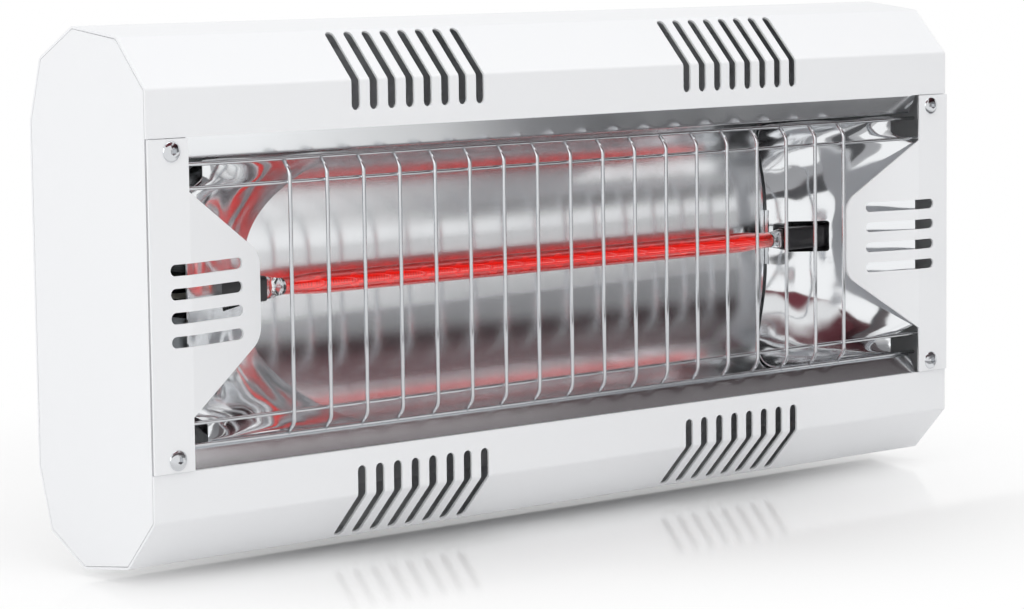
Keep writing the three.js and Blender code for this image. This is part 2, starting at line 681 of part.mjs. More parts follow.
// The bent sheet that closes one end of the trough. Each level line runs from the cover's fold to the
// trough's wall. At mid height the lines slant back to the trough's strip, and towards the lips they
// reach further in and lie flatter, where the wall curves forward.
function endReflector() {
  const frontHalf = RAIL_HALF - GUARD_DROP - WIRE / 2 - 2 * CLEARANCE;
  const behindGuard = OUTER_RAIL_Y + WIRE;
  const wallEdge = quarterOval(
    point(behindGuard, LIP_EDGE - END_MIRROR_INSET), point(END_MIRROR_BACK, TROUGH_BACK / 2));
  const upper = wallEdge.map(({ x: y, y: z }, i) => {
    const towardsLip = Math.cos((Math.PI / 2) * (i / TROUGH_STEPS)) ** 2;
    const run = END_MIRROR_RUN + (END_MIRROR_LIP_RUN - END_MIRROR_RUN) * towardsLip;
    const front = z < frontHalf
      ? new THREE.Vector3(FOLD_X, END_MIRROR_FRONT, z)
      : new THREE.Vector3(FOLD_X - END_MIRROR_CORNER, behindGuard, z);
    return [front, new THREE.Vector3(FOLD_X - run, y, z)];
  });
  const mirrored = ({ x, y, z }) => new THREE.Vector3(x, y, -z);
  const lower = upper.map((line) => line.map(mirrored)).reverse();
  const windowHalf = CAP_HEIGHT / 2 + WINDOW_MARGIN;
  const window = block(
    [FOLD_X - WINDOW_TO, 0, -windowHalf], [FOLD_X - WINDOW_FROM, TROUGH_DEPTH, windowHalf]);
  const sheet = ruledSheet([...upper, ...lower], MIRROR_SHEET).subtract(window);
  const footBack = TROUGH_DEPTH - CLEARANCE;
  const footX = FOLD_X - END_MIRROR_RUN;
  const footHalf = TROUGH_BACK / 2;
  const foot = block(
    [footX, footBack - MIRROR_SHEET, -footHalf], [footX + END_MIRROR_FOOT, footBack, footHalf]);
  const heel = block(
    [footX, END_MIRROR_BACK - MIRROR_SHEET, -footHalf], [footX + MIRROR_SHEET, footBack, footHalf]);
  const tabs = [-1, 1].map((side) => blockBetween(
    FOLD_X - MIRROR_SHEET / 2, FOLD_X + GUARD_RAIL_PAST_FOLD, BEHIND_SHEET,
    BEHIND_SHEET + MIRROR_SHEET,
    side * END_MIRROR_TAB_LOW, side * (frontHalf - WIRE)));
  return addAll([sheet, heel, foot, ...tabs]);
}

// ---- Wire guard ---------------------------------------------------------------------------
function guardUpright() {
  const bend = point(UPRIGHT_Y, OPENING_HALF - GUARD_BEND_INSET);
  const upper = [point(OUTER_RAIL_Y, OUTER_RAIL_HALF), bend, point(UPRIGHT_Y, 0)];
  const half = roundPath(upper, () => GUARD_BEND_RADIUS, FOLD_STEPS).slice(0, -1);
  const path = [...half, ...mirrorAcross(half)].map((p) => new THREE.Vector3(0, p.x, p.y));
  return swept(path, WIRE, WIRE_SIDES);
}

function guardRail(y, z, halfLength) {
  return alongX(boreOutline(WIRE, WIRE_SIDES), -halfLength, halfLength).translate([0, y, z]);
}

function wireGuard() {
  const wingTip = FOLD_X - WING_REACH * Math.cos(WING_ANGLE);
  const pairs = Math.floor((wingTip - WIRE / 2 + GUARD_PITCH / 2) / GUARD_PITCH);
  const upright = guardUpright();
  const uprights = [];
  for (let i = 0; i < pairs; i += 1) {
    const x = (i + 0.5) * GUARD_PITCH;
    uprights.push(upright.translate([-x, 0, 0]), upright.translate([x, 0, 0]));
  }
  const rails = [-1, 1].flatMap((side) => [
    guardRail(RAIL_Y, side * RAIL_HALF, FOLD_X + GUARD_RAIL_PAST_FOLD),
    guardRail(OUTER_RAIL_Y, side * OUTER_RAIL_HALF, FOLD_X + GUARD_OUTER_PAST_FOLD),
  ]);
  return addAll([...rails, ...uprights]).translate([0, 0, -GUARD_DROP]);
}

// ---- Lamp ---------------------------------------------------------------------------------
function quartzTube() {
  const outer = TUBE_DIAMETER / 2;
  const inner = outer - TUBE_WALL;
  return turned([[inner, -TUBE_END], [outer, -TUBE_END], [outer, TUBE_END], [inner, TUBE_END],
    [inner, -TUBE_END]], TUBE_SIDES).rotate([0, 0, 90]).translate([0, LAMP_DEPTH, 0]);
}

// The flattened glass past the round tube. Its sections keep the tube's height and go from the
// tube's depth to the pinch's in an eased curve, and the last two are squared.
function lampPinch() {
  const unit = circleOutline(1, TUBE_SIDES, Math.PI / TUBE_SIDES);
  const at = (x, depth, p) => new THREE.Vector3(
    x, LAMP_DEPTH + (p.x * depth) / 2, (p.y * TUBE_DIAMETER) / 2);
  const squared = (x) => unit.map((p) => at(
    x, PINCH_THICKNESS, p.clone().divideScalar(Math.max(Math.abs(p.x), Math.abs(p.y)))));
  const start = TUBE_END + CLEARANCE;
  const tapered = Array.from({ length: PINCH_STEPS }, (_, i) => {
    const flattened = (1 - Math.cos((Math.PI * i) / PINCH_STEPS)) / 2;
    const depth = TUBE_DIAMETER + (PINCH_THICKNESS - TUBE_DIAMETER) * flattened;
    return unit.map((p) => at(start + (PINCH_TAPER * i) / PINCH_STEPS, depth, p));
  });
  return lofted([...tapered, squared(start + PINCH_TAPER), squared(start + PINCH_LENGTH)]);
}

function filament() {
  const half = TUBE_END - COIL_TAIL;
  const count = COIL_TURNS * COIL_STEPS;
  const r = COIL_DIAMETER / 2;
  const path = [new THREE.Vector3(-TUBE_END, LAMP_DEPTH + r, 0)];
  for (let i = 0; i <= count; i += 1) {
    const angle = (2 * Math.PI * i) / COIL_STEPS;
    const x = -half + (2 * half * i) / count;
    path.push(new THREE.Vector3(x, LAMP_DEPTH + r * Math.cos(angle), r * Math.sin(angle)));
  }
  path.push(new THREE.Vector3(TUBE_END, LAMP_DEPTH + r, 0));
  const outer = TUBE_DIAMETER / 2 - TUBE_WALL - CLEARANCE;
  const inner = r - COIL_WIRE / 4;
  const wire = SUPPORT_WIRE / 2;
  const support = turned(
    [[inner, -wire], [outer, -wire], [outer, wire], [inner, wire], [inner, -wire]], WIRE_SIDES)
    .rotate([0, 0, 90]);
  const supports = Array.from({ length: COIL_SUPPORTS }, (_, i) => {
    const x = -half + (2 * half * (i + 0.5)) / COIL_SUPPORTS;
    return support.translate([x, LAMP_DEPTH, 0]);
  });
  return addAll([swept(path, COIL_WIRE, COIL_SIDES), ...supports]);
}

// The glazed ceramic cap round the pinch.
function lampCap() {
  const section = roundedBox(CAP_THICKNESS / 2, CAP_HEIGHT / 2, CAP_CORNER, TIP_STEPS);
  const body = alongX(section, CAP_START, CAP_END).translate([0, LAMP_DEPTH, 0]);
  const pocketEnd = TUBE_END + 2 * CLEARANCE + PINCH_LENGTH;
  const pocketDepth = PINCH_THICKNESS / 2 + CLEARANCE;
  const pocketHeight = TUBE_DIAMETER / 2 + CLEARANCE;
  const pocket = block([CAP_START - PAST, LAMP_DEPTH - pocketDepth, -pocketHeight],
    [pocketEnd, LAMP_DEPTH + pocketDepth, pocketHeight]);
  return body.subtract(pocket);
}

const holderStart = FOLD_X - HOLDER_FROM_FOLD;
const holderMiddle = holderStart + HOLDER_LENGTH / 2;
const holderBed = LAMP_DEPTH + CAP_THICKNESS / 2 + CLEARANCE;
const holderScrewTip = holderBed + HOLDER_SCREW_STOP;

// The ceramic block that grips the cap, seated on the trough's back strip.
function lampHolder() {
  const seat = TROUGH_DEPTH - CLEARANCE;
  const half = HOLDER_HEIGHT / 2;
  const jawHalf = CAP_HEIGHT / 2 + CLEARANCE;
  const upper = [
    point(holderBed, jawHalf),
    point(HOLDER_FRONT, jawHalf),
    point(HOLDER_FRONT, half - HOLDER_CHAMFER),
    point(HOLDER_FRONT + HOLDER_CHAMFER, half),
    point(seat, half),
  ];
  const profile = [...upper, ...mirrorAcross(upper)].reverse();
  return alongX(profile, holderStart, holderStart + HOLDER_LENGTH)
    .subtract(boreY(HOLDER_SCREW, holderScrewTip - CLEARANCE, seat + PAST, holderMiddle, 0));
}

// A slotted pan-head screw along Y with its head towards +Y and its seat at y = 0. The head's sizes
// are parts of the thread's diameter.
function panScrew(diameter, length) {
  const shank = diameter / 2;
  const head = diameter * PAN_RADIUS;
  const top = diameter * PAN_HEIGHT;
  const body = turned(
    [[0, -length], [shank, -length], [shank, 0], [head, 0], [head * PAN_TAPER, top], [0, top]], ROUND);
  const slotHalf = diameter * PAN_SLOT / 2;
  return body.subtract(block([-head, top / 2, -slotHalf], [head, top + PAST, slotHalf]));
}

// ---- Wiring -------------------------------------------------------------------------------
const terminalY = HOUSING_DEPTH - TERMINAL_FLOOR;
const poleZ = (pole) => (pole - (TERMINAL_POLES - 1) / 2) * TERMINAL_PITCH;

function terminalBlock() {
  const half = TERMINAL_LENGTH / 2;
  const halfHeight = (TERMINAL_POLES * TERMINAL_PITCH) / 2;
  const front = BACK_INSIDE - TERMINAL_DEPTH;
  const [x0, x1] = [TERMINAL_X - half, TERMINAL_X + half];
  const entry = ENTRY_GRIP + PAST;
  const cutters = [];
  for (let pole = 0; pole < TERMINAL_POLES; pole += 1) {
    const z = poleZ(pole);
    const screwHole = (x) => boreY(TERMINAL_SCREW, front - PAST, terminalY, x, z, SMALL_SIDES);
    cutters.push(
      boreX(LEAD, x0 - PAST, x0 + entry, terminalY, z, SMALL_SIDES),
      boreX(LEAD, x1 - entry, x1 + PAST, terminalY, z, SMALL_SIDES),
      screwHole(x0 + TERMINAL_SCREW_INSET),
      screwHole(x1 - TERMINAL_SCREW_INSET));
  }
  for (let groove = 1; groove < TERMINAL_POLES; groove += 1) {
    const z = poleZ(groove) - TERMINAL_PITCH / 2;
    const [low, high] = [z - TERMINAL_GROOVE / 2, z + TERMINAL_GROOVE / 2];
    cutters.push(block(
      [x0 - PAST, front - PAST, low], [x1 + PAST, front + TERMINAL_GROOVE_DEPTH, high]));
  }
  return subtractAll(block([x0, front, -halfHeight], [x1, BACK_INSIDE, halfHeight]), cutters);
}

function leadAlong(points, steps) {
  const places = points.map((p) => new THREE.Vector3(...p));
  const curve = new THREE.CatmullRomCurve3(places, false, 'centripetal');
  return swept(curve.getSpacedPoints(steps), LEAD, WIRE_SIDES);
}

// The start that both lamp leads share: out of the cap and round the end of the trough.
function leadStart(side) {
  const turnX = TROUGH_HALF_LENGTH + LEAD_SWEEP;
  return [
    [side * (CAP_END + CLEARANCE), LAMP_DEPTH, 0],
    [side * (CAP_END + 3 * LEAD), LAMP_DEPTH, 0],
    [side * (turnX - 2 * LEAD), LAMP_DEPTH + 1.5 * LEAD, 0],
    [side * turnX, TROUGH_DEPTH, LEAD],
    [side * (turnX - LEAD), TROUGH_DEPTH + 4 * LEAD, 2 * LEAD],
  ];
}

function leadRight() {
  const mouth = TERMINAL_X + TERMINAL_LENGTH / 2;
  return leadAlong([
    ...leadStart(1),
    [mouth + 8 * LEAD, terminalY - 2, poleZ(2)],
    [mouth + 4 * LEAD, terminalY, poleZ(2)],
    [mouth + LEAD, terminalY, poleZ(2)],
    [mouth - ENTRY_GRIP, terminalY, poleZ(2)],
  ], LEAD_STEPS);
}

function leadLeft() {
  const mouth = TERMINAL_X - TERMINAL_LENGTH / 2;
  const run = TROUGH_DEPTH + LEAD_BEHIND;
  return leadAlong([
    ...leadStart(-1),
    [-TROUGH_HALF_LENGTH + LEAD_SWEEP, run, LEAD_RISE],
    [-TROUGH_HALF_LENGTH / 2, run, LEAD_RISE],
    [0, run, LEAD_RISE],
    [mouth - 2 * TERMINAL_LENGTH, run, poleZ(1) + LEAD_RISE - LEAD],
    [mouth - 8 * LEAD, terminalY - 2, poleZ(1)],
    [mouth - 4 * LEAD, terminalY, poleZ(1)],
    [mouth - LEAD, terminalY, poleZ(1)],
    [mouth + ENTRY_GRIP, terminalY, poleZ(1)],
  ], LONG_LEAD_STEPS);
}

const earthTagY = BACK_INSIDE - EARTH_TAG_FROM_BACK;

function earthLead() {
  const mouth = TERMINAL_X - TERMINAL_LENGTH / 2;
  return leadAlong([
    [EARTH_X + EARTH_STUD + EARTH_TAG_NECK / 2, earthTagY, EARTH_Z],
    [EARTH_X + EARTH_STUD + 3 * LEAD, earthTagY, EARTH_Z],
    [mouth - 4 * LEAD, terminalY, poleZ(0)],
    [mouth - LEAD, terminalY, poleZ(0)],
    [mouth + ENTRY_GRIP, terminalY, poleZ(0)],
  ], SHORT_LEAD_STEPS);
}

// A ring tag on the earth stud, with the crimp that holds the lead.
function earthTag() {
  const [front, back] = [earthTagY - EARTH_TAG / 2, earthTagY + EARTH_TAG / 2];
  const half = EARTH_TAG_NECK / 2;
  const ring = alongY(rodOutline(2 * EARTH_STUD), front, back).translate([EARTH_X, 0, EARTH_Z]);
  const neck = block([EARTH_X + EARTH_STUD - half, front, EARTH_Z - half],
    [EARTH_X + EARTH_STUD + half - CLEARANCE, back, EARTH_Z + half]);
  return ring.add(neck).subtract(boreY(EARTH_STUD, front - PAST, back + PAST, EARTH_X, EARTH_Z));
}

function earthStud() {
  const headSeat = HOUSING_DEPTH + CLEARANCE;
  return alongY(hexOutline(NUT_ACROSS), headSeat, headSeat + EARTH_HEAD)
    .add(alongY(rodOutline(EARTH_STUD), headSeat - EARTH_STUD_LENGTH, headSeat + PAST))
    .translate([EARTH_X, 0, EARTH_Z]);
}

function earthNut() {
  return nutY(NUT_ACROSS, EARTH_STUD, earthTagY + EARTH_TAG / 2 + CLEARANCE, BACK_INSIDE)
    .translate([EARTH_X, 0, EARTH_Z]);
}

function nutY(acrossFlats, bore, y0, y1) {
  return alongY(hexOutline(acrossFlats), y0, y1)
    .subtract(boreY(bore, y0 - PAST, y1 + PAST, 0, 0));
}

// ---- Cable gland --------------------------------------------------------------------------
const glandSeat = HOUSING_DEPTH + CLEARANCE;
const glandFlangeEnd = glandSeat + GLAND_FLANGE;

function glandBody() {
  const start = BACK_INSIDE - GLAND_INSIDE;
  const end = glandFlangeEnd + GLAND_NECK;
  return addAll([
    alongY(rodOutline(GLAND_THREAD), start, end),
    alongY(hexOutline(GLAND_HEX), glandSeat, glandFlangeEnd),
  ]).subtract(alongY(boreOutline(GLAND_BORE), start - PAST, end + PAST))
    .translate([GLAND_X, 0, GLAND_Z]);
}

function glandCap() {
  const start = glandFlangeEnd + CLEARANCE;
  const noseStart = start + GLAND_CAP_LENGTH - GLAND_NOSE;
  const end = noseStart + GLAND_NOSE;
  const shoulder = GLAND_BARREL / 2;
  const mouth = (GLAND_BORE + GLAND_HEX) / 4;
  const barrel = turned(
    [[0, start], [shoulder, start], [shoulder, noseStart], [mouth, end], [0, end]], ROUND);
  return barrel.add(alongY(hexOutline(GLAND_HEX), start, start + GLAND_GRIP))
    .subtract(boreY(GLAND_THREAD, start - PAST, noseStart, 0, 0))
    .subtract(boreY(GLAND_BORE, start - PAST, end + PAST, 0, 0))
    .translate([GLAND_X, 0, GLAND_Z]);
}

function glandSeal() {
  const start = glandFlangeEnd + GLAND_NECK + CLEARANCE;
  const end = glandFlangeEnd + GLAND_CAP_LENGTH - GLAND_NOSE;
  return alongY(rodOutline(GLAND_THREAD), start, end)
    .subtract(alongY(boreOutline(GLAND_BORE), start - PAST, end + PAST))
    .translate([GLAND_X, 0, GLAND_Z]);
}

function glandNut() {
  return nutY(GLAND_HEX, GLAND_THREAD, BACK_INSIDE - NUT_HEIGHT, BACK_INSIDE)
    .translate([GLAND_X, 0, GLAND_Z]);
}

// ---- Tilting bracket ----------------------------------------------------------------------
// A channel bracket: a plate at plateY with an ear folded over at each end, round at the pivot.
// facing is +1 when the ears point to +Y, and -1 when they point to -Y.
function channelBracket(outsideHalf, plateY, facing, plateHeight) {
  const tip = PIVOT_Y + facing * EAR_RADIUS;
  const start = facing * outsideHalf;
  const path = [point(start, tip), point(start, plateY), point(-start, plateY), point(-start, tip)];
  const half = plateHeight / 2;
  const section = sheetOutline(path, BRACKET_SHEET, BRACKET_FOLD_RADIUS, FOLD_STEPS);
  const channel = alongZ(section, -half, half);
  const straight = facing * (BRACKET_SHEET + BRACKET_FOLD_RADIUS + PAST);
  const ear = Array.from({ length: EAR_STEPS }, (_, i) => {
    const angle = (Math.PI / 2) * (1 - i / EAR_STEPS);
    return point(PIVOT_Y + facing * EAR_RADIUS * Math.cos(angle), EAR_RADIUS * Math.sin(angle));
  });
  const upper = [point(plateY - facing * PAST, half), point(plateY + straight, half), ...ear];
  const side = [...upper, point(tip, 0), ...mirrorAcross(upper)];
  const end = outsideHalf + PAST;
  const profile = alongX(facing > 0 ? side.reverse() : side, -end, end);
  return channel.intersect(profile).subtract(boreX(PIVOT_BOLT, -end, end, PIVOT_Y, 0));
}

function backBracket() {
  const plateY = HOUSING_DEPTH + CLEARANCE;
  const holes = bracketScrewPlaces.map(([x, z]) => backHole(BRACKET_SCREW, x, z));
  return subtractAll(channelBracket(BRACKET_HALF, plateY, 1, BACK_PLATE_HEIGHT), holes);
}

function wallBracket() {
  const half = (WALL_SLOT_LENGTH - WALL_SLOT_WIDTH) / 2;
  const slot = alongY(
    slotOutline(WALL_SLOT_WIDTH, -half, half, true), WALL_Y - BRACKET_SHEET - PAST, WALL_Y + PAST)
    .rotate([0, 90, 0]);
  const slots = fourCorners(WALL_SLOT_X, WALL_SLOT_Z).map(([x, z]) => slot.translate([x, 0, z]));
  return subtractAll(channelBracket(WALL_EAR_OUTSIDE, WALL_Y, -1, WALL_PLATE_HEIGHT), slots);
}

// Everything on the right-hand pivot, along +X from the inside of the bracket's ear.
const earInside = BRACKET_HALF - BRACKET_SHEET - CLEARANCE;
const nutSeat = WALL_EAR_OUTSIDE + WASHER_THICKNESS + 2 * CLEARANCE;

function pivotBolt() {
  const head = alongX(hexOutline(PIVOT_HEAD), earInside - PIVOT_HEAD_HEIGHT, earInside);
  const end = nutSeat + WING_NUT_LENGTH + PIVOT_PAST_NUT;
  return head.add(alongX(rodOutline(PIVOT_BOLT), earInside - PAST, end)).translate([0, PIVOT_Y, 0]);
}

function washerAt(x0) {
  return alongX(rodOutline(WASHER_DIAMETER), x0, x0 + WASHER_THICKNESS)
    .translate([0, PIVOT_Y, 0])
    .subtract(boreX(PIVOT_BOLT, x0 - PAST, x0 + WASHER_THICKNESS + PAST, PIVOT_Y, 0));
}

// A turned hub with two rounded wings. WING_OUTLINE gives the corners of the upper wing as [x, y].
function wingNut() {
  const hub = turned(
    [[0, 0], [WING_NUT_FOOT, 0], [WING_NUT_NOSE, WING_NUT_LENGTH], [0, WING_NUT_LENGTH]], ROUND)
    .rotate([0, 0, -90]);
  const outline = roundPath(
    WING_OUTLINE.map(([x, y]) => point(x, y)), () => WING_CORNER, TIP_STEPS).reverse();
  const wing = alongZ(outline, -WING_THICKNESS / 2, WING_THICKNESS / 2);
  return hub.add(wing).add(wing.rotate([180, 0, 0]))
    .subtract(boreX(PIVOT_BOLT, -PAST, WING_OUTLINE[3][0] + PAST, 0, 0))
    .translate([nutSeat, PIVOT_Y, 0]);
}

// ---- Assembly -----------------------------------------------------------------------------
const heater = new THREE.Group();
heater.add(piece('shell', shell(), whitePaint));
heater.add(...endPair('end_plate', endPlate(), whitePaint));
heater.add(...endPair('side_cover', sideCover(), whitePaint));
heater.add(piece('reflector_trough', reflectorTrough(), polishedAluminium));
heater.add(...endPair('end_reflector', endReflector(), polishedAluminium));
heater.add(piece('wire_guard', wireGuard(), chromedWire));
heater.add(piece('quartz_tube', quartzTube(), rubyQuartz));
heater.add(...endPair('lamp_pinch', lampPinch(), clearQuartz));
heater.add(piece('filament', filament(), tungsten));
heater.add(...endPair('lamp_cap', lampCap(), darkCeramic));
heater.add(...endPair('lamp_holder', lampHolder(), darkCeramic));
heater.add(piece('lamp_lead_right', leadRight(), heatLead));
heater.add(piece('lamp_lead_left', leadLeft(), heatLead));
heater.add(piece('terminal_block', terminalBlock(), paleCeramic));
heater.add(piece('earth_stud', earthStud(), zincSteel));
heater.add(piece('earth_tag', earthTag(), brass));
heater.add(piece('earth_lead', earthLead(), earthLeadSleeve));
heater.add(piece('earth_nut', earthNut(), zincSteel));
heater.add(piece('gland_body', glandBody(), blackPlastic));
heater.add(piece('gland_cap', glandCap(), blackPlastic));
heater.add(piece('gland_seal', glandSeal(), blackPlastic));
heater.add(piece('gland_nut', glandNut(), blackPlastic));
heater.add(piece('back_bracket', backBracket(), whitePaint));

const holderScrewSeat = TROUGH_DEPTH + MIRROR_SHEET + CLEARANCE;
const holderScrew = panScrew(HOLDER_SCREW, holderScrewSeat - holderScrewTip)
  .translate([holderMiddle, holderScrewSeat, 0]);
heater.add(...endPair('holder_screw', holderScrew, zincSteel));

// Four screws or nuts, one near each corner, named by side and level.
function addFour(name, solid, x, y, z) {
  for (const [sideName, sx] of [['left', -1], ['right', 1]]) {
    for (const [levelName, sz] of [['top', 1], ['bottom', -1]]) {
      const mesh = piece(`${name}_${sideName}_${levelName}`, solid, zincSteel);
      mesh.position.set(sx * x, y, sz * z);
      heater.add(mesh);
    }
  }
}
const bracketNut = nutY(NUT_ACROSS, BRACKET_SCREW, BACK_INSIDE - NUT_HEIGHT, BACK_INSIDE);
const bracketScrewSeat = HOUSING_DEPTH + BRACKET_SHEET + 2 * CLEARANCE;
addFour('cover_screw', coverScrew(),
  FOLD_X + COVER_SCREW_FROM_FOLD, -CLEARANCE, OPENING_HALF - COVER_SCREW_INSET);
addFour('rear_screw', panScrew(REAR_SCREW, REAR_SCREW_LENGTH),
  rearScrewX, HOUSING_DEPTH + CLEARANCE, REAR_SCREW_Z);
addFour('bracket_screw', panScrew(BRACKET_SCREW, BRACKET_SCREW_LENGTH),
  BRACKET_SCREW_X, bracketScrewSeat, BRACKET_SCREW_Z);
addFour('bracket_nut', bracketNut, BRACKET_SCREW_X, 0, BRACKET_SCREW_Z);
heater.add(...endPair('pivot_bolt', pivotBolt(), zincSteel));
heater.add(...endPair('friction_washer', washerAt(BRACKET_HALF + CLEARANCE), blackPlastic));
heater.add(...endPair('pivot_washer', washerAt(WALL_EAR_OUTSIDE + CLEARANCE), zincSteel));
heater.add(...endPair('wing_nut', wingNut(), zincSteel));
heater.add(piece('wall_bracket', wallBracket(), whitePaint));
heater.position.y = -WALL_Y;

const object = new THREE.Group();
object.add(heater);
export default object;
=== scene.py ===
"""Wall-mounted electric bar heater: finishes and fine pieces built round the construction model.

X runs along the lamp, the heater faces -Y, +Z is up, and y = 0 is the wall. Sizes are in metres.
"""

import json
import math

import bmesh
import bpy
import numpy as np
from bpy.props import FloatProperty, FloatVectorProperty, IntProperty, PointerProperty
from mathutils import Matrix, Vector


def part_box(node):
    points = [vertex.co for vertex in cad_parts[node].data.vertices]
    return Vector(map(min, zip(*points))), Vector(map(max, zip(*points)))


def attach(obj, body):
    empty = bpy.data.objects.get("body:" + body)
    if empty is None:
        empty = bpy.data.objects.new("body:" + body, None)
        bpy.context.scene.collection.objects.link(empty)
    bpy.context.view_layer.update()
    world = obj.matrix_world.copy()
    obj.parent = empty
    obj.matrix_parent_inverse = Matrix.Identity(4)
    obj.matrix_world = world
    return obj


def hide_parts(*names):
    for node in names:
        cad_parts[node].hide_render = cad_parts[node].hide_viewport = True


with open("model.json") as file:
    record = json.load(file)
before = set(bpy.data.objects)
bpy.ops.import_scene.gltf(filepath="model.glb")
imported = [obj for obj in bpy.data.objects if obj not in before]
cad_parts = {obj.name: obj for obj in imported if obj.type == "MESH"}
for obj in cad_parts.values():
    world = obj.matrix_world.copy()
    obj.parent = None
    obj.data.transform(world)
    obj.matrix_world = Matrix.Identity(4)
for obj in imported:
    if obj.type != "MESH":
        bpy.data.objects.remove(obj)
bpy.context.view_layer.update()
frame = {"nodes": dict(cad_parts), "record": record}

bl_info = {
    "name": "Electric bar heater",
    "version": (1, 0, 0),
    "blender": (4, 5, 0),
    "location": "View3D > Sidebar > Heater",
    "description": "Builds the finishes and fine pieces of a wall-mounted quartz bar heater",
    "category": "Add Mesh",
}

HEATER = "heater"
SIDES = {"left": -1, "right": 1}
LEVELS = {"bottom": -1, "top": 1}


def mm(millimetres):
    return millimetres / 1000


def linear_of(hex_colour):
    """The linear colour of an sRGB hex value such as E6E7E9."""
    values = [int(hex_colour[i:i + 2], 16) / 255 for i in (0, 2, 4)]
    return [v / 12.92 if v <= 0.04045 else ((v + 0.055) / 1.055) ** 2.4 for v in values]


def length(name, description, default):
    return FloatProperty(name=name, description=description, default=default, unit="LENGTH", precision=5)


def colour(name, description, hex_colour):
    return FloatVectorProperty(
        name=name, description=description, default=linear_of(hex_colour), subtype="COLOR", min=0, max=1)


def count(name, description, default):
    return IntProperty(name=name, description=description, default=default, min=0)


SHORT = mm(0.02)        # corners closer than this are joined before a bevel
CLEAR = mm(0.3)         # the gap kept between pieces that lie against each other
HOLE_PLAY = mm(0.6)     # a screw hole's diameter over the thread's
PAST = mm(1)            # how far a cutting form reaches past what it cuts
SLIVER = 1e-5           # a length too small to see


# ---- Places taken from the construction model ------------------------------------------------
SHELL_LOW, SHELL_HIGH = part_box("shell")
FRONT = SHELL_LOW.y
BACK = SHELL_HIGH.y
HALF_LENGTH = SHELL_HIGH.x
HALF_HEIGHT = SHELL_HIGH.z
BEZEL_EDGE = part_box("side_cover_right")[1].z + CLEAR
TUBE_LOW, TUBE_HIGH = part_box("quartz_tube")
LAMP_Y = (TUBE_LOW.y + TUBE_HIGH.y) / 2
TUBE_END = TUBE_HIGH.x
GUARD_LOW, GUARD_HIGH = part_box("wire_guard")


# ---- Sizes and colours that a user would change ----------------------------------------------
class HeaterHousingSizes(bpy.types.PropertyGroup):
    sheet: length("Sheet", "Thickness of the painted sheet", mm(1.2))
    fold: length("Fold radius", "Inside radius of a fold in the painted sheet", mm(1.6))
    strip: length("Front strip", "Height of the flat strip over the opening", mm(22.8))
    chamfer_depth: length("Chamfer depth", "How far the front chamfer reaches back", mm(22.2))
    chamfer_rise: length("Chamfer rise", "How far the front chamfer climbs", mm(23.8))
    slope_depth: length("Rear slope depth", "How far the rear slope reaches back", mm(28))
    slope_drop: length("Rear slope drop", "How far the rear slope falls", mm(15.3))
    corner_depth: length("Rear corner depth", "How far the rear corner reaches back", mm(9.6))
    corner_drop: length("Rear corner drop", "How far the rear corner falls", mm(30.4))
    vent_count: count("Vents in a row", "Slots in each of the four rows", 8)
    vent_pitch: length("Vent pitch", "Distance from slot to slot", mm(11.19))
    vent_width: length("Vent width", "Width of a slot", mm(5.3))
    vent_start: length("Vent start", "Distance of the nearest slot from the middle", mm(71))
    vent_low: length("Vent on the strip", "Length of a slot on the front strip", mm(14.5))
    vent_high: length("Vent on the chamfer", "Length of a slot on the chamfer", mm(30.8))
    bezel: length("Bezel", "Width of the flat part of an end cover", mm(22.7))
    wing_reach: length("Wing reach", "How far the slotted wing reaches in", mm(48.8))
    wing_tip: length("Wing tip", "Half height of the wing's tip", mm(20.5))
    wing_tip_radius: length("Wing corner", "Corner radius of the wing's tip", mm(12))
    wing_root: length("Wing root", "Half height of the wing at its fold", mm(52.45))
    cover_slots: count("Cover slots", "Slots in each end cover", 4)
    cover_slot_pitch: length("Cover slot pitch", "Distance from slot to slot", mm(11.15))
    cover_slot_width: length("Cover slot width", "Width of a slot", mm(5.4))
    cover_slot_outer: length("Cover slot, bezel side", "Arc centre on the bezel, from the fold", mm(8.9))
    cover_slot_inner: length("Cover slot, wing side", "Arc centre on the wing, from the fold", mm(33.2))


class HeaterReflectorSizes(bpy.types.PropertyGroup):
    sheet: length("Sheet", "Thickness of the reflector sheet", mm(0.8))
    lip_depth: length("Lip depth", "How far the lip slopes back", mm(7.2))
    lip_height: length("Lip height", "Height of the lip", mm(10.7))
    depth: length("Depth", "Depth of the trough's flat back strip", mm(52))
    back: length("Back strip", "Height of the flat back strip", mm(30))
    wall_end_gap: length("Wall end", "From the cover's fold to the end of the trough's walls", mm(22))
    run: length("End sheet run", "How far the slanted end sheet reaches in at mid height", mm(69))
    lip_run: length("End sheet run, lips", "How far it reaches in under the lips", mm(106))
    corner: length("End sheet corner", "How far it stops short of the fold under the lips", mm(14))
    inset: length("End sheet inset", "From the trough's wall to the end sheet's edge", mm(1.8))
    foot: length("End sheet foot", "Length of the foot on the back strip", mm(10))
    window_from: length("Window from", "Start of the lamp's window, from the fold", mm(40))
    window_to: length("Window to", "End of the lamp's window, from the fold", mm(61))
    window_margin: length("Window margin", "Gap above and below the lamp's cap", mm(2.3))
    end_front: length("End sheet front", "Depth of its front edge", mm(2))
    end_back: length("End sheet back", "Depth of its edge at the back strip", mm(50))
    heel: length("End sheet heel", "Depth at which its foot's heel starts", mm(49.2))
    slant_from: length("Slant from", "Height at which its front edge starts to slant", mm(50.5))
    slant_over: length("Slant over", "Height over which it slants", mm(6))
    tab_from: length("Tab from", "Height at which a tab starts", mm(28))
    tab_to: length("Tab to", "Height at which a tab ends", mm(50.15))
    crease: length("Crease", "Height of the creases that fan out from the lamp's window", mm(0.5))
    creases: count("Creases", "How closely the creases follow each other round the window", 7)
    fan: length("Fan", "Distance over which the creases grow", mm(50))
    ripple: length("Ripple", "How far rolling left the sheet out of flat", mm(0.05))


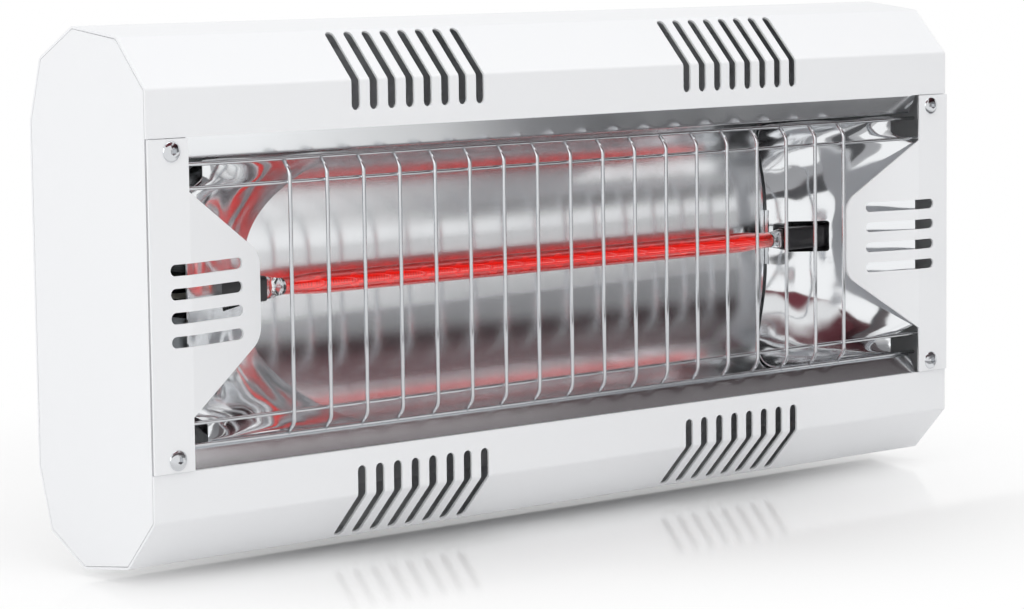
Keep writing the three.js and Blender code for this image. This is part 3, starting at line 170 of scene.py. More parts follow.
class HeaterGuardSizes(bpy.types.PropertyGroup):
    wire: length("Wire", "Diameter of the guard's wire", mm(2))
    pitch: length("Pitch", "Distance from upright to upright", mm(22.3))
    uprights: count("Uprights", "Uprights each side of the middle", 9)
    rail: length("Front rails", "Half distance between the front rails", mm(54.75))
    bend: length("Bends", "Height at which the uprights turn back", mm(59.85))
    outer: length("Outer rails", "Half distance between the outer rails", mm(65.6))
    drop: length("Drop", "How far the guard hangs low in its play", mm(1))
    lap: length("Lap", "How far the outer rails reach under the end covers", mm(2.5))
    weld: length("Weld", "How far crossed wires sink into each other", mm(0.15))


class HeaterLampSizes(bpy.types.PropertyGroup):
    wall: length("Glass wall", "Thickness of the quartz tube", mm(1.2))
    neck: length("Neck", "Diameter of the tube where it is drawn in to a pinch", mm(8.4))
    drawn_end: length("Drawn end", "Length over which the tube is drawn in", mm(24))
    pinch_taper: length("Pinch taper", "Length from the round neck to the flat glass", mm(9))
    pinch_thickness: length("Pinch thickness", "Thickness of the flattened glass", mm(3.6))
    foil: length("Foil", "Width of the foil in the flat glass", mm(4.8))
    foil_thickness: length("Foil thickness", "Thickness of the foil", mm(0.16))
    lead: length("Inner lead", "Diameter of the lead from the coil to the foil", mm(0.7))
    coil: length("Coil", "Outer diameter of the filament's coil", mm(4.2))
    coil_wire: length("Coil wire", "Diameter of the filament's wire", mm(0.55))
    coil_pitch: length("Coil pitch", "Distance from turn to turn", mm(1.7))
    supports: count("Supports", "Spiral supports that centre the coil", 14)


class HeaterScrewSizes(bpy.types.PropertyGroup):
    dome_rise: length("Dome", "Height of a cover screw's dome over its seat", mm(3))
    dome_rim: length("Dome rim", "Upright edge under the dome", mm(0.75))
    socket: length("Socket", "Width of the six-sided socket across its flats", mm(3))
    socket_depth: length("Socket depth", "Depth of the socket", mm(1.65))
    cover_thread: length("Cover thread", "Diameter of a cover screw's thread", mm(4.8))
    holder_thread: length("Small thread", "Diameter of the holder and rear screws", mm(4))
    holder_pitch: length("Holder pitch", "Pitch of the holder screws' thread", mm(0.7))
    rear_pitch: length("Sheet pitch", "Pitch of the screws that cut their thread in sheet", mm(1.4))
    bracket_thread: length("Bracket thread", "Diameter of the bracket screws and the earth stud", mm(5))
    bracket_pitch: length("Bracket pitch", "Pitch of their thread", mm(0.8))
    nut_across: length("Nut", "Width of a small nut across its flats", mm(8))


class HeaterGlandSizes(bpy.types.PropertyGroup):
    thread: length("Thread", "Diameter of the gland's thread", mm(20))
    pitch: length("Pitch", "Pitch of the gland's thread", mm(1.5))
    bore: length("Bore", "Diameter of the hole for the cable", mm(10.4))
    across: length("Six-sided part", "Width across its flats", mm(25))
    flange: length("Flange", "Thickness of the body's six-sided part", mm(5))
    barrel: length("Barrel", "Diameter of the cap past its grip", mm(24))
    grip: length("Grip", "Length of the cap's six-sided part", mm(7))
    nose: length("Nose", "Length of the cap's rounded end", mm(4))
    ribs: count("Grooves", "Grooves round the cap", 24)
    groove: length("Groove", "Radius of a groove", mm(0.45))


class HeaterBracketSizes(bpy.types.PropertyGroup):
    thread: length("Thread", "Diameter of a pivot bolt", mm(8))
    pitch: length("Pitch", "Pitch of its thread", mm(1.25))
    head_across: length("Head", "Width of its head across the flats", mm(13))
    head: length("Head height", "Height of its head", mm(5))
    plain: length("Plain shank", "From the head's top to the first turn of the thread", mm(12))
    hub: length("Hub", "Length of a wing nut's hub", mm(9))
    hub_foot: length("Hub foot", "Diameter of the hub at its washer", mm(16))
    hub_nose: length("Hub nose", "Diameter of the hub at its far end", mm(12.4))
    wing: length("Wing", "Thickness of a wing", mm(2.6))


class HeaterColours(bpy.types.PropertyGroup):
    paint: colour("Paint", "Powder-coated steel", "EFF0F2")
    aluminium: colour("Aluminium", "Polished aluminium", "EEF0F2")
    wire: colour("Wire", "Bright steel wire", "CFD1D4")
    ruby: colour("Ruby glass", "Ruby-coated quartz", "E03A30")
    glass: colour("Clear glass", "Clear quartz", "F4F6F7")
    glow: colour("Glow", "Hot tungsten", "FF5A24")
    # near-black: the glaze's colour, and also painted shade round the lamp's ends
    ceramic: colour("Black ceramic", "Glazed ceramic", "17151A")
    steatite: colour("Steatite", "Unglazed ceramic", "DAD4C6")
    nylon: colour("Nylon", "Moulded nylon", "1C1D1F")
    zinc: colour("Zinc", "Zinc-plated steel, bluish", "B0B4BC")
    zinc_cloud: colour("Zinc cloud", "Zinc-plated steel, yellowish", "BDB8A8")
    screw: colour("Screw", "Chromed screw head", "D6D8DB")
    brass: colour("Brass", "Stamped brass", "C49A4A")
    foil: colour("Foil", "Molybdenum foil", "8E8A88")
    tungsten: colour("Tungsten", "Bare tungsten under the glow", "5A4A42")
    rubber: colour("Rubber", "Moulded rubber", "2A2A2B")
    fibre: colour("Fibre", "Vulcanised fibre", "2B2320")
    sleeve: colour("Sleeve", "Braided glass fibre", "D8D3C6")
    earth: colour("Earth green", "Earth lead's sleeve", "2F7A38")
    earth_stripe: colour("Earth yellow", "Stripe on the earth lead's sleeve", "E2C52A")


# ---- Outlines --------------------------------------------------------------------------------
def mirrored(points):
    """The same points across the second axis, in reverse order."""
    return [Vector((p.x, -p.y)) for p in reversed(points)]


def on_side(points, sign):
    """The same outline at the left or the right end of the heater."""
    return [Vector((sign * p.x, p.y)) for p in points]


def clamped(value):
    return max(0.0, min(1.0, value))


def eased(t):
    """Goes from 0 to 1 with a level start and end."""
    return t * t * (3 - 2 * t)


def right_of(start, end):
    along = (end - start).normalized()
    return Vector((along.y, -along.x))


def offset_path(points, distance):
    """The path moved to the right of its direction, with mitred corners."""
    last = len(points) - 1
    moved = []
    for i, here in enumerate(points):
        before = right_of(points[max(i - 1, 0)], points[max(i, 1)])
        after = right_of(points[min(i, last - 1)], points[min(i + 1, last)])
        moved.append(here + (before + after) / (1 + before.dot(after)) * distance)
    return moved


def arc_at(before, corner, after, radius, steps):
    back = (before - corner).normalized()
    ahead = (after - corner).normalized()
    half = back.angle(ahead) / 2
    centre = corner + (back + ahead).normalized() * radius / math.sin(half)
    start = corner + back * radius / math.tan(half) - centre
    turn = math.copysign(math.pi - 2 * half, -(back.x * ahead.y - back.y * ahead.x))
    arc = []
    for i in range(steps + 1):
        angle = turn * i / steps
        arc.append(centre + Vector((
            start.x * math.cos(angle) - start.y * math.sin(angle),
            start.x * math.sin(angle) + start.y * math.cos(angle))))
    return arc


def round_path(points, radius_at, steps):
    """Rounds every corner between the first and the last point."""
    rounded = [points[0]]
    for i in range(1, len(points) - 1):
        radius = radius_at(i)
        rounded += arc_at(points[i - 1], points[i], points[i + 1], radius, steps) if radius else [points[i]]
    return rounded + [points[-1]]


def folded_section(path, thickness, inside_radius, steps=6, curved=()):
    """Both faces of a folded sheet's section, point for point. The thickness is right of the path.

    The corners numbered in curved belong to a smooth curve and aren't rounded again.
    """
    def turns_right(i):
        into, out = path[i] - path[i - 1], path[i + 1] - path[i]
        return into.x * out.y - into.y * out.x < 0

    def radius_on(side):
        return lambda i: 0 if i in curved else inside_radius + thickness * (turns_right(i) == side)

    return (round_path(path, radius_on(True), steps),
            round_path(offset_path(path, thickness), radius_on(False), steps))


def quarter_oval(start, end, steps):
    """A quarter of an oval that leaves its start level and reaches its end upright."""
    turns = [math.pi / 2 * i / steps for i in range(steps + 1)]
    return [Vector((start.x + (end.x - start.x) * math.sin(t), end.y + (start.y - end.y) * math.cos(t)))
            for t in turns]


def plate_outline(low, high, radius, steps=4):
    """A rectangle between two corners with round corners."""
    corners = [Vector(low), Vector((high[0], low[1])), Vector(high), Vector((low[0], high[1]))]
    outline = []
    for i, corner in enumerate(corners):
        outline += arc_at(corners[i - 1], corner, corners[(i + 1) % 4], radius, steps)
    return outline


def slot_outline(width, start, end, steps=10):
    """A slot along the second axis with round ends."""
    radius = width / 2

    def tip(centre, first):
        angles = [first + math.pi * i / steps for i in range(steps + 1)]
        return [Vector((radius * math.cos(a), centre + radius * math.sin(a))) for a in angles]

    return tip(start, math.pi) + tip(end, 0)


def circle(radius, sides, turn=0.0):
    angles = [turn + 2 * math.pi * i / sides for i in range(sides)]
    return [Vector((radius * math.cos(a), radius * math.sin(a))) for a in angles]


def stepped(start, end, step):
    """Evenly spaced values from start to end, about a step apart."""
    return np.linspace(start, end, max(1, round(abs(end - start) / step)) + 1)


# ---- Forms -----------------------------------------------------------------------------------
class Form:
    """The points and faces of one piece, gathered before its mesh is made."""

    def __init__(self):
        self.points = []
        self.faces = []
        self.finishes = []

    def add(self, points, faces, finish=0):
        first = len(self.points)
        self.points += [tuple(p) for p in points]
        self.faces += [[first + i for i in face] for face in faces]
        self.finishes += [finish] * len(faces)
        return self


def rings(form, loops, finish=0, caps=True):
    """Joins loops of as many points each into a skin, with a flat face over each end."""
    size = len(loops[0])
    points = [p for loop in loops for p in loop]
    faces = []
    for r in range(len(loops) - 1):
        for i in range(size):
            j = (i + 1) % size
            faces.append([r * size + i, r * size + j, (r + 1) * size + j, (r + 1) * size + i])
    if caps:
        faces.append(list(reversed(range(size))))
        faces.append([(len(loops) - 1) * size + i for i in range(size)])
    return form.add(points, faces, finish)


def prism(form, outline, low, high, place):
    """Runs an outline between two heights. place turns (outline point, height) into a point."""
    return rings(form, [[place(p, h) for p in outline] for h in (low, high)])


def along_x(p, h):
    return Vector((h, p.x, p.y))


def along_y(p, h):
    return Vector((p.x, h, p.y))


def upward(sign):
    """Places an outline seen from above at one end of the heater, and its heights upward."""
    return lambda p, h: Vector((sign * p.x, p.y, h))


def centre_of(node):
    low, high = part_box(node)
    return (low + high) / 2


def hole_for(form, node, thread, low, high):
    """The hole that a screw or gland goes through, from front to back."""
    middle = centre_of(node)
    outline = [p + Vector((middle.x, middle.z)) for p in circle((thread + HOLE_PLAY) / 2, 28)]
    return prism(form, outline, low, high, along_y)


def sheet_strip(form, section, places, place=along_x, bend=None):
    """Runs a folded section through places, with its cut ends closed."""
    face, other = section
    loop = face + other[::-1]
    size, half = len(loop), len(face)
    loops = [[place(p, h) for p in loop] for h in places]
    if bend:
        loops = [[bend(p) for p in ring] for ring in loops]
    rings(form, loops, caps=False)
    last = (len(places) - 1) * size
    first_point = len(form.points) - len(places) * size
    for i in range(half - 1):
        quad = [i, size - 1 - i, size - 2 - i, i + 1]
        form.faces.append([first_point + q for q in reversed(quad)])
        form.faces.append([first_point + last + q for q in quad])
        form.finishes += [0, 0]
    return form


def frames_along(path):
    """A normal and a binormal at each point of a path, carried along it without twist."""
    points = [Vector(p) for p in path]
    last = len(points) - 1
    tangents = [(points[min(i + 1, last)] - points[max(i - 1, 0)]).normalized() for i in range(last + 1)]
    seed = Vector((0, 0, 1)) if abs(tangents[0].z) < 0.9 else Vector((1, 0, 0))
    normal = seed.cross(tangents[0]).normalized()
    carried = []
    for tangent in tangents:
        normal = (normal - tangent * normal.dot(tangent)).normalized()
        carried.append((normal.copy(), tangent.cross(normal), tangent))
    return points, carried


def wire(form, path, diameter, sides=14, finish=0, domed=True):
    """A round wire along a path, with its ends domed."""
    points, carried = frames_along(path)
    radius = diameter / 2

    def ring(centre, frame_here, r):
        normal, binormal, _ = frame_here
        return [centre + (normal * math.cos(a) + binormal * math.sin(a)) * r
                for a in (2 * math.pi * i / sides for i in range(sides))]

    loops = [ring(p, f, radius) for p, f in zip(points, carried)]
    if domed:
        for turn in (0.5, 0.85):
            reach = radius * 0.6 * math.sin(turn * math.pi / 2)
            inner = radius * math.cos(turn * math.pi / 2)
            loops.insert(0, ring(points[0] - carried[0][2] * reach, carried[0], inner))
            loops.append(ring(points[-1] + carried[-1][2] * reach, carried[-1], inner))
    return rings(form, loops, finish)


def turned(form, profile, sides, place):
    """A turned form from (radius, height) pairs. A profile that comes back to its start has no end faces."""
    loops = [[place(p, h) for p in circle(max(r, SLIVER), sides)] for r, h in profile]
    return rings(form, loops, caps=profile[0] != profile[-1])


def mesh_of(name, form):
    mesh = bpy.data.meshes.new(name)
    mesh.from_pydata(form.points, [], form.faces)
    mesh.polygons.foreach_set("use_smooth", [True] * len(mesh.polygons))
    mesh.polygons.foreach_set("material_index", form.finishes)
    mesh.validate()
    mesh.update()
    built = bpy.data.objects.new(name, mesh)
    bpy.context.scene.collection.objects.link(built)
    return built


def solid(name, form):
    """A closed piece, its doubled points merged and every face turned outward."""
    built = mesh_of(name, form)
    work = bmesh.new()
    work.from_mesh(built.data)
    bmesh.ops.remove_doubles(work, verts=work.verts, dist=1e-7)
    bmesh.ops.recalc_face_normals(work, faces=work.faces)
    work.to_mesh(built.data)
    work.free()
    return built


def combined(built, operation, form):
    """Cuts a piece with a form, joins it on, or keeps what they share, and bakes the result."""
    other = solid("cutter", form)
    step = built.modifiers.new("Combine", "BOOLEAN")
    step.operation, step.object, step.solver = operation, other, "MANIFOLD"
    depsgraph = bpy.context.evaluated_depsgraph_get()
    mesh = bpy.data.meshes.new_from_object(built.evaluated_get(depsgraph))
    built.modifiers.clear()
    built.data = mesh
    if not len(mesh.polygons):
        raise RuntimeError(f"nothing is left of {built.name}")
    bpy.data.objects.remove(other)
    return built


def softened(built, edge, angle=math.radians(35)):
    """Rounds the sharp edges a little, so that they catch the light, and keeps the flats flat.

    Corners too close together for a bevel are joined first: in the mesh itself, or with a
    modifier on a CAD node, whose own corners stay as they are.
    """
    attributes = built.data.attributes
    if "custom_normal" in attributes:
        attributes.remove(attributes["custom_normal"])
    built.data.polygons.foreach_set("use_smooth", [True] * len(built.data.polygons))
    if built in frame["nodes"].values():
        merge = built.modifiers.new("Close corners", "WELD")
        merge.merge_threshold = SHORT
    else:
        work = bmesh.new()
        work.from_mesh(built.data)
        bmesh.ops.dissolve_degenerate(work, edges=work.edges, dist=SHORT)
        bmesh.ops.remove_doubles(work, verts=work.verts, dist=SHORT)
        work.to_mesh(built.data)
        work.free()
    bevel = built.modifiers.new("Edges", "BEVEL")
    bevel.limit_method, bevel.angle_limit = "ANGLE", angle
    bevel.width, bevel.segments, bevel.use_clamp_overlap = edge, 2, True
    normals = built.modifiers.new("Normals", "WEIGHTED_NORMAL")
    normals.weight = 100
    return built


def finished(built, slot, node):
    """Gives a new piece its finish and its body, and hides the node that it stands for."""
    built.data.materials.clear()
    built.data.materials.append(finish(slot))
    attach(built, HEATER)
    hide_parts(node)
    return built


def dressed(node, edge=mm(0.15)):
    """Gives a construction piece its finish and soft edges."""
    built = frame["nodes"][node]
    slot = next(s["material_slot"] for s in frame["record"]["subparts"] if s["node"] == node)
    built.data.materials.clear()
    built.data.materials.append(finish(slot))
    return softened(built, edge)


# ---- Materials -------------------------------------------------------------------------------
def add_node(tree, kind, inputs, **settings):
    """Adds a node with its settings, its values and its links."""
    node = tree.nodes.new(kind)
    for name, value in settings.items():
        setattr(node, name, value)
    for name, value in inputs.items():
        if isinstance(value, bpy.types.NodeSocket):
            tree.links.new(value, node.inputs[name])
        else:
            node.inputs[name].default_value = value
    return node


def rgba(value):
    return (*value, 1)


def blank_material(name):
    """A new material and its empty tree."""
    material = bpy.data.materials.new(name)
    material.use_nodes = True
    material.node_tree.nodes.clear()
    return material, material.node_tree


class Surface:
    """A material of one shader, with patterns laid out in real sizes on the piece."""

    def __init__(self, name, base_colour, **sockets):
        self.material, self.tree = blank_material(name)
        inputs = {key.replace("_", " "): value for key, value in sockets.items()}
        inputs["Base Color"] = rgba(base_colour)
        self.shader = add_node(self.tree, "ShaderNodeBsdfPrincipled", inputs)
        self.output = add_node(self.tree, "ShaderNodeOutputMaterial", {
            "Surface": self.shader.outputs["BSDF"]})
        self.place = add_node(self.tree, "ShaderNodeTexCoord", {}).outputs["Object"]

    def worked(self, pattern, raised=None, roughness=None):
        """Lets a pattern raise the surface by (height, strength) and move its roughness in a range."""
        if raised:
            bump = add_node(self.tree, "ShaderNodeBump", {
                "Height": pattern, "Distance": raised[0], "Strength": raised[1]})
            self.tree.links.new(bump.outputs["Normal"], self.shader.inputs["Normal"])
        if roughness:
            step = add_node(self.tree, "ShaderNodeMapRange", {
                "Value": pattern, "To Min": roughness[0], "To Max": roughness[1]})
            self.tree.links.new(step.outputs["Result"], self.shader.inputs["Roughness"])
        return self

    def grained(self, size, detail, raised=None, roughness=None):
        """Works the surface with an uneven pattern of a real size: one size, or one for each axis."""
        place, scale = self.place, 1.0
        if isinstance(size, tuple):
            place = add_node(self.tree, "ShaderNodeMapping", {
                "Vector": place, "Scale": [1 / s for s in size]}).outputs["Vector"]
        else:
            scale = 1 / size
        noise = add_node(self.tree, "ShaderNodeTexNoise", {"Vector": place, "Scale": scale, "Detail": detail})
        self.worked(noise.outputs["Fac"], raised, roughness)
        return noise.outputs["Fac"]

    def tinted(self, pattern, other_colour):
        """Mixes a second colour into the base colour where the pattern is high."""
        base = self.shader.inputs["Base Color"]
        mix = add_node(self.tree, "ShaderNodeMix", {
            "Factor": pattern, "A": tuple(base.default_value), "B": rgba(other_colour)}, data_type="RGBA")
        self.tree.links.new(mix.outputs["Result"], base)


def powder_coated_steel(colours):
    """Polyester powder baked on steel: satin, with the faint orange peel that such a coat levels to."""
    made = Surface("powder_coated_steel", colours.paint, IOR=1.5)
    made.grained(mm(1.6), 1, raised=(mm(0.012), 0.6))
    made.grained(mm(60), 2, roughness=(0.38, 0.46))
    return made


def polished_aluminium(colours):
    """Rolled aluminium sheet, brightened: its fine grain along X smears a reflection up and down."""
    made = Surface("rolled_polished_aluminium", colours.aluminium, Metallic=1.0, Anisotropic=0.9)
    around = add_node(made.tree, "ShaderNodeTangent", {}, direction_type="RADIAL", axis="X")
    made.tree.links.new(around.outputs["Tangent"], made.shader.inputs["Tangent"])
    made.grained((mm(25), mm(0.5), mm(0.5)), 3, raised=(mm(0.004), 0.5))
    made.grained(mm(35), 3, roughness=(0.13, 0.19))
    return made


def bent_aluminium(colours):
    """Mirror-bright aluminium creased at the press: sharp reflections, buckled by shallow waves."""
    made = Surface("press_bent_aluminium", colours.aluminium, Metallic=1.0)
    made.grained(mm(28), 1, raised=(mm(1.5), 1.0))
    made.grained(mm(9), 2, roughness=(0.07, 0.13))
    return made


def bright_wire(colours):
    """Drawn steel wire, nickel-chromed after welding: bright, with faint drawing marks."""
    made = Surface("chromed_steel_wire", colours.wire, Metallic=1.0)
    made.grained(mm(1.2), 2, raised=(mm(0.01), 0.5), roughness=(0.12, 0.24))
    return made


def ruby_quartz(colours):
    """Drawn quartz with a baked ruby coat: it passes the red of the coil and mirrors the room. Its faint red
    emission is a painted glow of the glass itself, standing in for coil light scattered in the coat.
    """
    made = Surface(
        "ruby_coated_quartz", colours.ruby, IOR=1.46, Transmission_Weight=0.85, Specular_IOR_Level=1.0,
        Coat_Weight=1.0, Coat_Roughness=0.03, Coat_IOR=2.0,
        # painted glow: the glass itself shines faintly red
        Emission_Color=rgba(colours.ruby), Emission_Strength=0.1)
    made.grained(mm(4), 2, roughness=(0.03, 0.08))
    return made


def clear_quartz(colours):
    """Pressed clear quartz: glass with the shallow waves that the pinching jaws leave."""
    made = Surface("pressed_clear_quartz", colours.glass, Roughness=0.03, IOR=1.46, Transmission_Weight=1.0)
    made.grained(mm(3), 1, raised=(mm(0.15), 0.5))
    return made


def molybdenum_foil(colours):
    """Rolled molybdenum foil: a thin matt grey metal strip, sealed in the glass."""
    made = Surface("rolled_molybdenum_foil", colours.foil, Metallic=1.0)
    made.grained(mm(0.7), 2, roughness=(0.28, 0.42))
    return made


def glowing_tungsten(colours):
    """Drawn tungsten at a dull working heat: an even orange glow over dark metal."""
    made = Surface("glowing_tungsten", colours.tungsten, Metallic=1.0, Emission_Color=rgba(colours.glow),
                   Emission_Strength=1.3)
    made.grained(mm(2), 1, roughness=(0.35, 0.5))
    return made


def glazed_ceramic(colours):
    """Pressed ceramic under a thin black glaze: a soft gloss over a slightly uneven body. Its near-black is
    also painted shade round the lamp's ends.
    """
    made = Surface("black_glazed_ceramic", colours.ceramic, IOR=1.5, Coat_Weight=0.3)
    made.grained(mm(1.5), 3, raised=(mm(0.05), 0.5), roughness=(0.28, 0.5))
    return made


def steatite(colours):
    """Pressed and fired steatite, unglazed: matt, dense and cream, with a fine tooth."""
    made = Surface("pressed_steatite", colours.steatite, Roughness=0.72, IOR=1.55)
    made.grained(mm(0.6), 3, raised=(mm(0.03), 0.6))
    return made


def moulded_nylon(colours):
    """Glass-filled nylon, moulded: black, with the low sheen that its spark-eroded mould gives."""
    made = Surface("moulded_black_nylon", colours.nylon, Roughness=0.5, IOR=1.53)
    made.grained(mm(0.5), 2, raised=(mm(0.03), 0.5))
    return made


def moulded_rubber(colours):
    """Moulded rubber: dark grey and matt, with a cloudy bloom."""
    made = Surface("moulded_rubber", colours.rubber, IOR=1.52)
    made.grained(mm(2), 3, roughness=(0.7, 0.9))
    return made


def vulcanised_fibre(colours):
    """Pressed vulcanised fibre: a hard dark sheet with a short felted grain."""
    made = Surface("vulcanised_fibre", colours.fibre, Roughness=0.65, IOR=1.5)
    made.grained(mm(0.8), 4, raised=(mm(0.04), 0.5))
    return made


def zinc_plated_steel(colours):
    """Zinc-plated and passivated steel: grey and bright, with cloudy patches of faint colour."""
    made = Surface("zinc_plated_steel", colours.zinc, Metallic=1.0)
    cloud = made.grained(mm(5), 3, roughness=(0.22, 0.4))
    made.tinted(cloud, colours.zinc_cloud)
    return made


def bright_screw_steel(colours):
    """Chromed steel, cold headed: a polished dome with a little tooling left on it."""
    made = Surface("chromed_headed_steel", colours.screw, Metallic=1.0)
    made.grained(mm(1.5), 2, roughness=(0.06, 0.16))
    return made


def stamped_brass(colours):
    """Stamped brass, left bare: yellow metal with a dull film."""
    made = Surface("stamped_brass", colours.brass, Metallic=1.0)
    made.grained(mm(3), 3, roughness=(0.25, 0.5))
    return made


def braided_glass_sleeve(colours):
    """Braided glass fibre over a wire: an off-white matt plait. Its strands are drawn coarse, to show."""
    made = Surface("braided_glass_sleeve", colours.sleeve, Roughness=0.75, IOR=1.5)
    strands = add_node(made.tree, "ShaderNodeTexVoronoi", {"Vector": made.place, "Scale": 1 / mm(0.7)})
    made.worked(strands.outputs["Distance"], raised=(mm(0.1), 0.7))
    return made


def striped_earth_sleeve(colours):
    """Extruded silicone sleeve in green with a yellow stripe."""
    made = Surface("striped_silicone_sleeve", colours.earth, Roughness=0.45, IOR=1.45)
    bands = add_node(made.tree, "ShaderNodeTexWave", {"Vector": made.place, "Scale": 1 / (mm(18) * math.tau)},
                     wave_type="BANDS", bands_direction="DIAGONAL")
    made.tinted(bands.outputs["Fac"], colours.earth_stripe)
    return made


FINISHES = {
    "white_paint": powder_coated_steel,
    "polished_aluminium": polished_aluminium,
    "bright_wire": bright_wire,
    "ruby_quartz": ruby_quartz,
    "clear_quartz": clear_quartz,
    "tungsten": glowing_tungsten,
    "dark_ceramic": glazed_ceramic,
    "pale_ceramic": steatite,
    "glass_sleeve": braided_glass_sleeve,
    "earth_sleeve": striped_earth_sleeve,
    "brass": stamped_brass,
    "black_nylon": moulded_nylon,
    "rubber": moulded_rubber,
    "fibre": vulcanised_fibre,
    "bright_screw": bright_screw_steel,
    "zinc_steel": zinc_plated_steel,
    "foil": molybdenum_foil,
    "bent_aluminium": bent_aluminium,
}
MADE = {}


def finish(slot):
    """The material of a slot, made once."""
    if slot not in MADE:
        MADE[slot] = FINISHES[slot](bpy.context.scene.heater_colours).material
    return MADE[slot]


# ---- Housing ---------------------------------------------------------------------------------
def housing_profile(sizes, reach):
    """The housing's outer face as (y, z) points, from one edge of the opening round the back."""
    corner_y = BACK - sizes.corner_depth
    front_half = BEZEL_EDGE + sizes.strip
    slope_z = HALF_HEIGHT - sizes.slope_drop
    upper = [
        Vector((FRONT, reach)),
        Vector((FRONT, front_half)),
        Vector((FRONT + sizes.chamfer_depth, front_half + sizes.chamfer_rise)),
        Vector((corner_y - sizes.slope_depth, HALF_HEIGHT)),
        Vector((corner_y, slope_z)),
        Vector((BACK, slope_z - sizes.corner_drop)),
    ]
    return upper + mirrored(upper)


def vent_halves(sizes, x, level):
    """One vent in two halves, each an outline and its place: on the front strip, and on up the chamfer."""
    fold_z = BEZEL_EDGE + sizes.strip
    radius = sizes.vent_width / 2
    slope = Vector((sizes.chamfer_depth, sizes.chamfer_rise)).normalized()

    def on_strip(p, h):
        return Vector((x + p.x, FRONT + h, level * (fold_z - p.y)))

    def on_chamfer(p, h):
        y = FRONT + slope.x * p.y + slope.y * h
        z = fold_z + slope.y * p.y - slope.x * h
        return Vector((x + p.x, y, level * z))

    return [(slot_outline(sizes.vent_width, -sizes.sheet, sizes.vent_low - radius), on_strip),
            (slot_outline(sizes.vent_width, -sizes.sheet, sizes.vent_high - radius), on_chamfer)]


class HEATER_OT_housing(bpy.types.Operator):
    """Folds the painted housing and cuts its vents and holes"""
    bl_idname = "heater.housing"
    bl_label = "Housing"

    def execute(self, context):
        sizes, screws = context.scene.heater_housing, context.scene.heater_screws
        section = folded_section(housing_profile(sizes, BEZEL_EDGE), sizes.sheet, sizes.fold)
        shell = solid("housing_shell", sheet_strip(Form(), section, (-HALF_LENGTH, HALF_LENGTH)))
        reach = 4 * sizes.sheet
        for half in (0, 1):
            vents = Form()
            for i in range(sizes.vent_count):
                for side in SIDES.values():
                    x = side * (sizes.vent_start + i * sizes.vent_pitch)
                    for level in LEVELS.values():
                        outline, place = vent_halves(sizes, x, level)[half]
                        prism(vents, outline, -reach, reach, place)
            combined(shell, "DIFFERENCE", vents)
        threads = {"gland_body": context.scene.heater_gland.thread, "earth_stud": screws.bracket_thread}
        for side in SIDES:
            for level in LEVELS:
                threads[f"rear_screw_{side}_{level}"] = screws.holder_thread
                threads[f"bracket_screw_{side}_{level}"] = screws.bracket_thread
        holes = Form()
        for node, thread in threads.items():
            hole_for(holes, node, thread, BACK - mm(6), BACK + mm(6))
        combined(shell, "DIFFERENCE", holes)
        softened(shell, mm(0.22))
        finished(shell, "white_paint", "shell")
        return {"FINISHED"}


class HEATER_OT_ends(bpy.types.Operator):
    """Finishes the end plates and folds the slotted covers over the ends of the opening"""
    bl_idname = "heater.ends"
    bl_label = "End plates and covers"

    def execute(self, context):
        for side in SIDES:
            dressed(f"end_plate_{side}", mm(0.35))
            self.cover(context.scene.heater_housing, context.scene.heater_screws, side)
        return {"FINISHED"}

    def cover(self, sizes, screws, side):
        sign = SIDES[side]
        fold_x = HALF_LENGTH - sizes.bezel
        low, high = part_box(f"side_cover_{side}")
        tip = Vector((min(abs(low.x), abs(high.x)) - PAST, high.y - sizes.sheet))
        path = [Vector((HALF_LENGTH, FRONT)), Vector((fold_x, FRONT)), tip]
        foreshortening = math.cos(math.atan2(tip.y - FRONT, fold_x - tip.x))
        section = folded_section(path, -sizes.sheet, mm(1))
        cover = solid(f"end_cover_{side}", sheet_strip(Form(), section, (-high.z, high.z), upward(sign)))
        tip_x = fold_x - sizes.wing_reach * foreshortening
        wing = round_path([
            Vector((fold_x, sizes.wing_root)), Vector((tip_x, sizes.wing_tip)), Vector((tip_x, 0))],
            lambda i: sizes.wing_tip_radius, 14)[:-1]
        upper = [Vector((HALF_LENGTH, high.z)), Vector((fold_x, high.z))] + wing
        front, back = FRONT - mm(2), FRONT + mm(20)
        outline = on_side(upper + mirrored(upper), sign)
        combined(cover, "INTERSECT", prism(Form(), outline, front, back, along_y))
        slots = Form()
        for i in range(sizes.cover_slots):
            z = (i - (sizes.cover_slots - 1) / 2) * sizes.cover_slot_pitch
            slot = slot_outline(
                sizes.cover_slot_width, -sizes.cover_slot_inner * foreshortening, sizes.cover_slot_outer)
            prism(slots, [Vector((sign * (fold_x + p.y), z + p.x)) for p in slot], front, back, along_y)
        for level in LEVELS:
            hole_for(slots, f"cover_screw_{side}_{level}", screws.cover_thread, front, FRONT + mm(6))
        combined(cover, "DIFFERENCE", slots)
        softened(cover, mm(0.2))
        finished(cover, "white_paint", f"side_cover_{side}")


# ---- Reflector -------------------------------------------------------------------------------
# Waves that rolling leaves in the sheet: share, length along X, length along Z and phase.
RIPPLES = ((0.4, mm(61), mm(104.72), 0), (0.28, mm(37), math.inf, 1.3), (0.32, mm(170), mm(43), 0))
WALL_STEPS = 28
SHEET_COLUMNS = 26
SHEET_ANGLE = math.radians(50)
EDGE_HOLD = 6           # how fast creases and ripples fade towards a sheet's edges


def ripple_of(sizes, p):
    """How far the rolled sheet stands out of flat at a point."""
    return sizes.ripple * sum(share * math.sin(math.tau * (p.x / along + p.z / across) + phase)
                              for share, along, across, phase in RIPPLES)


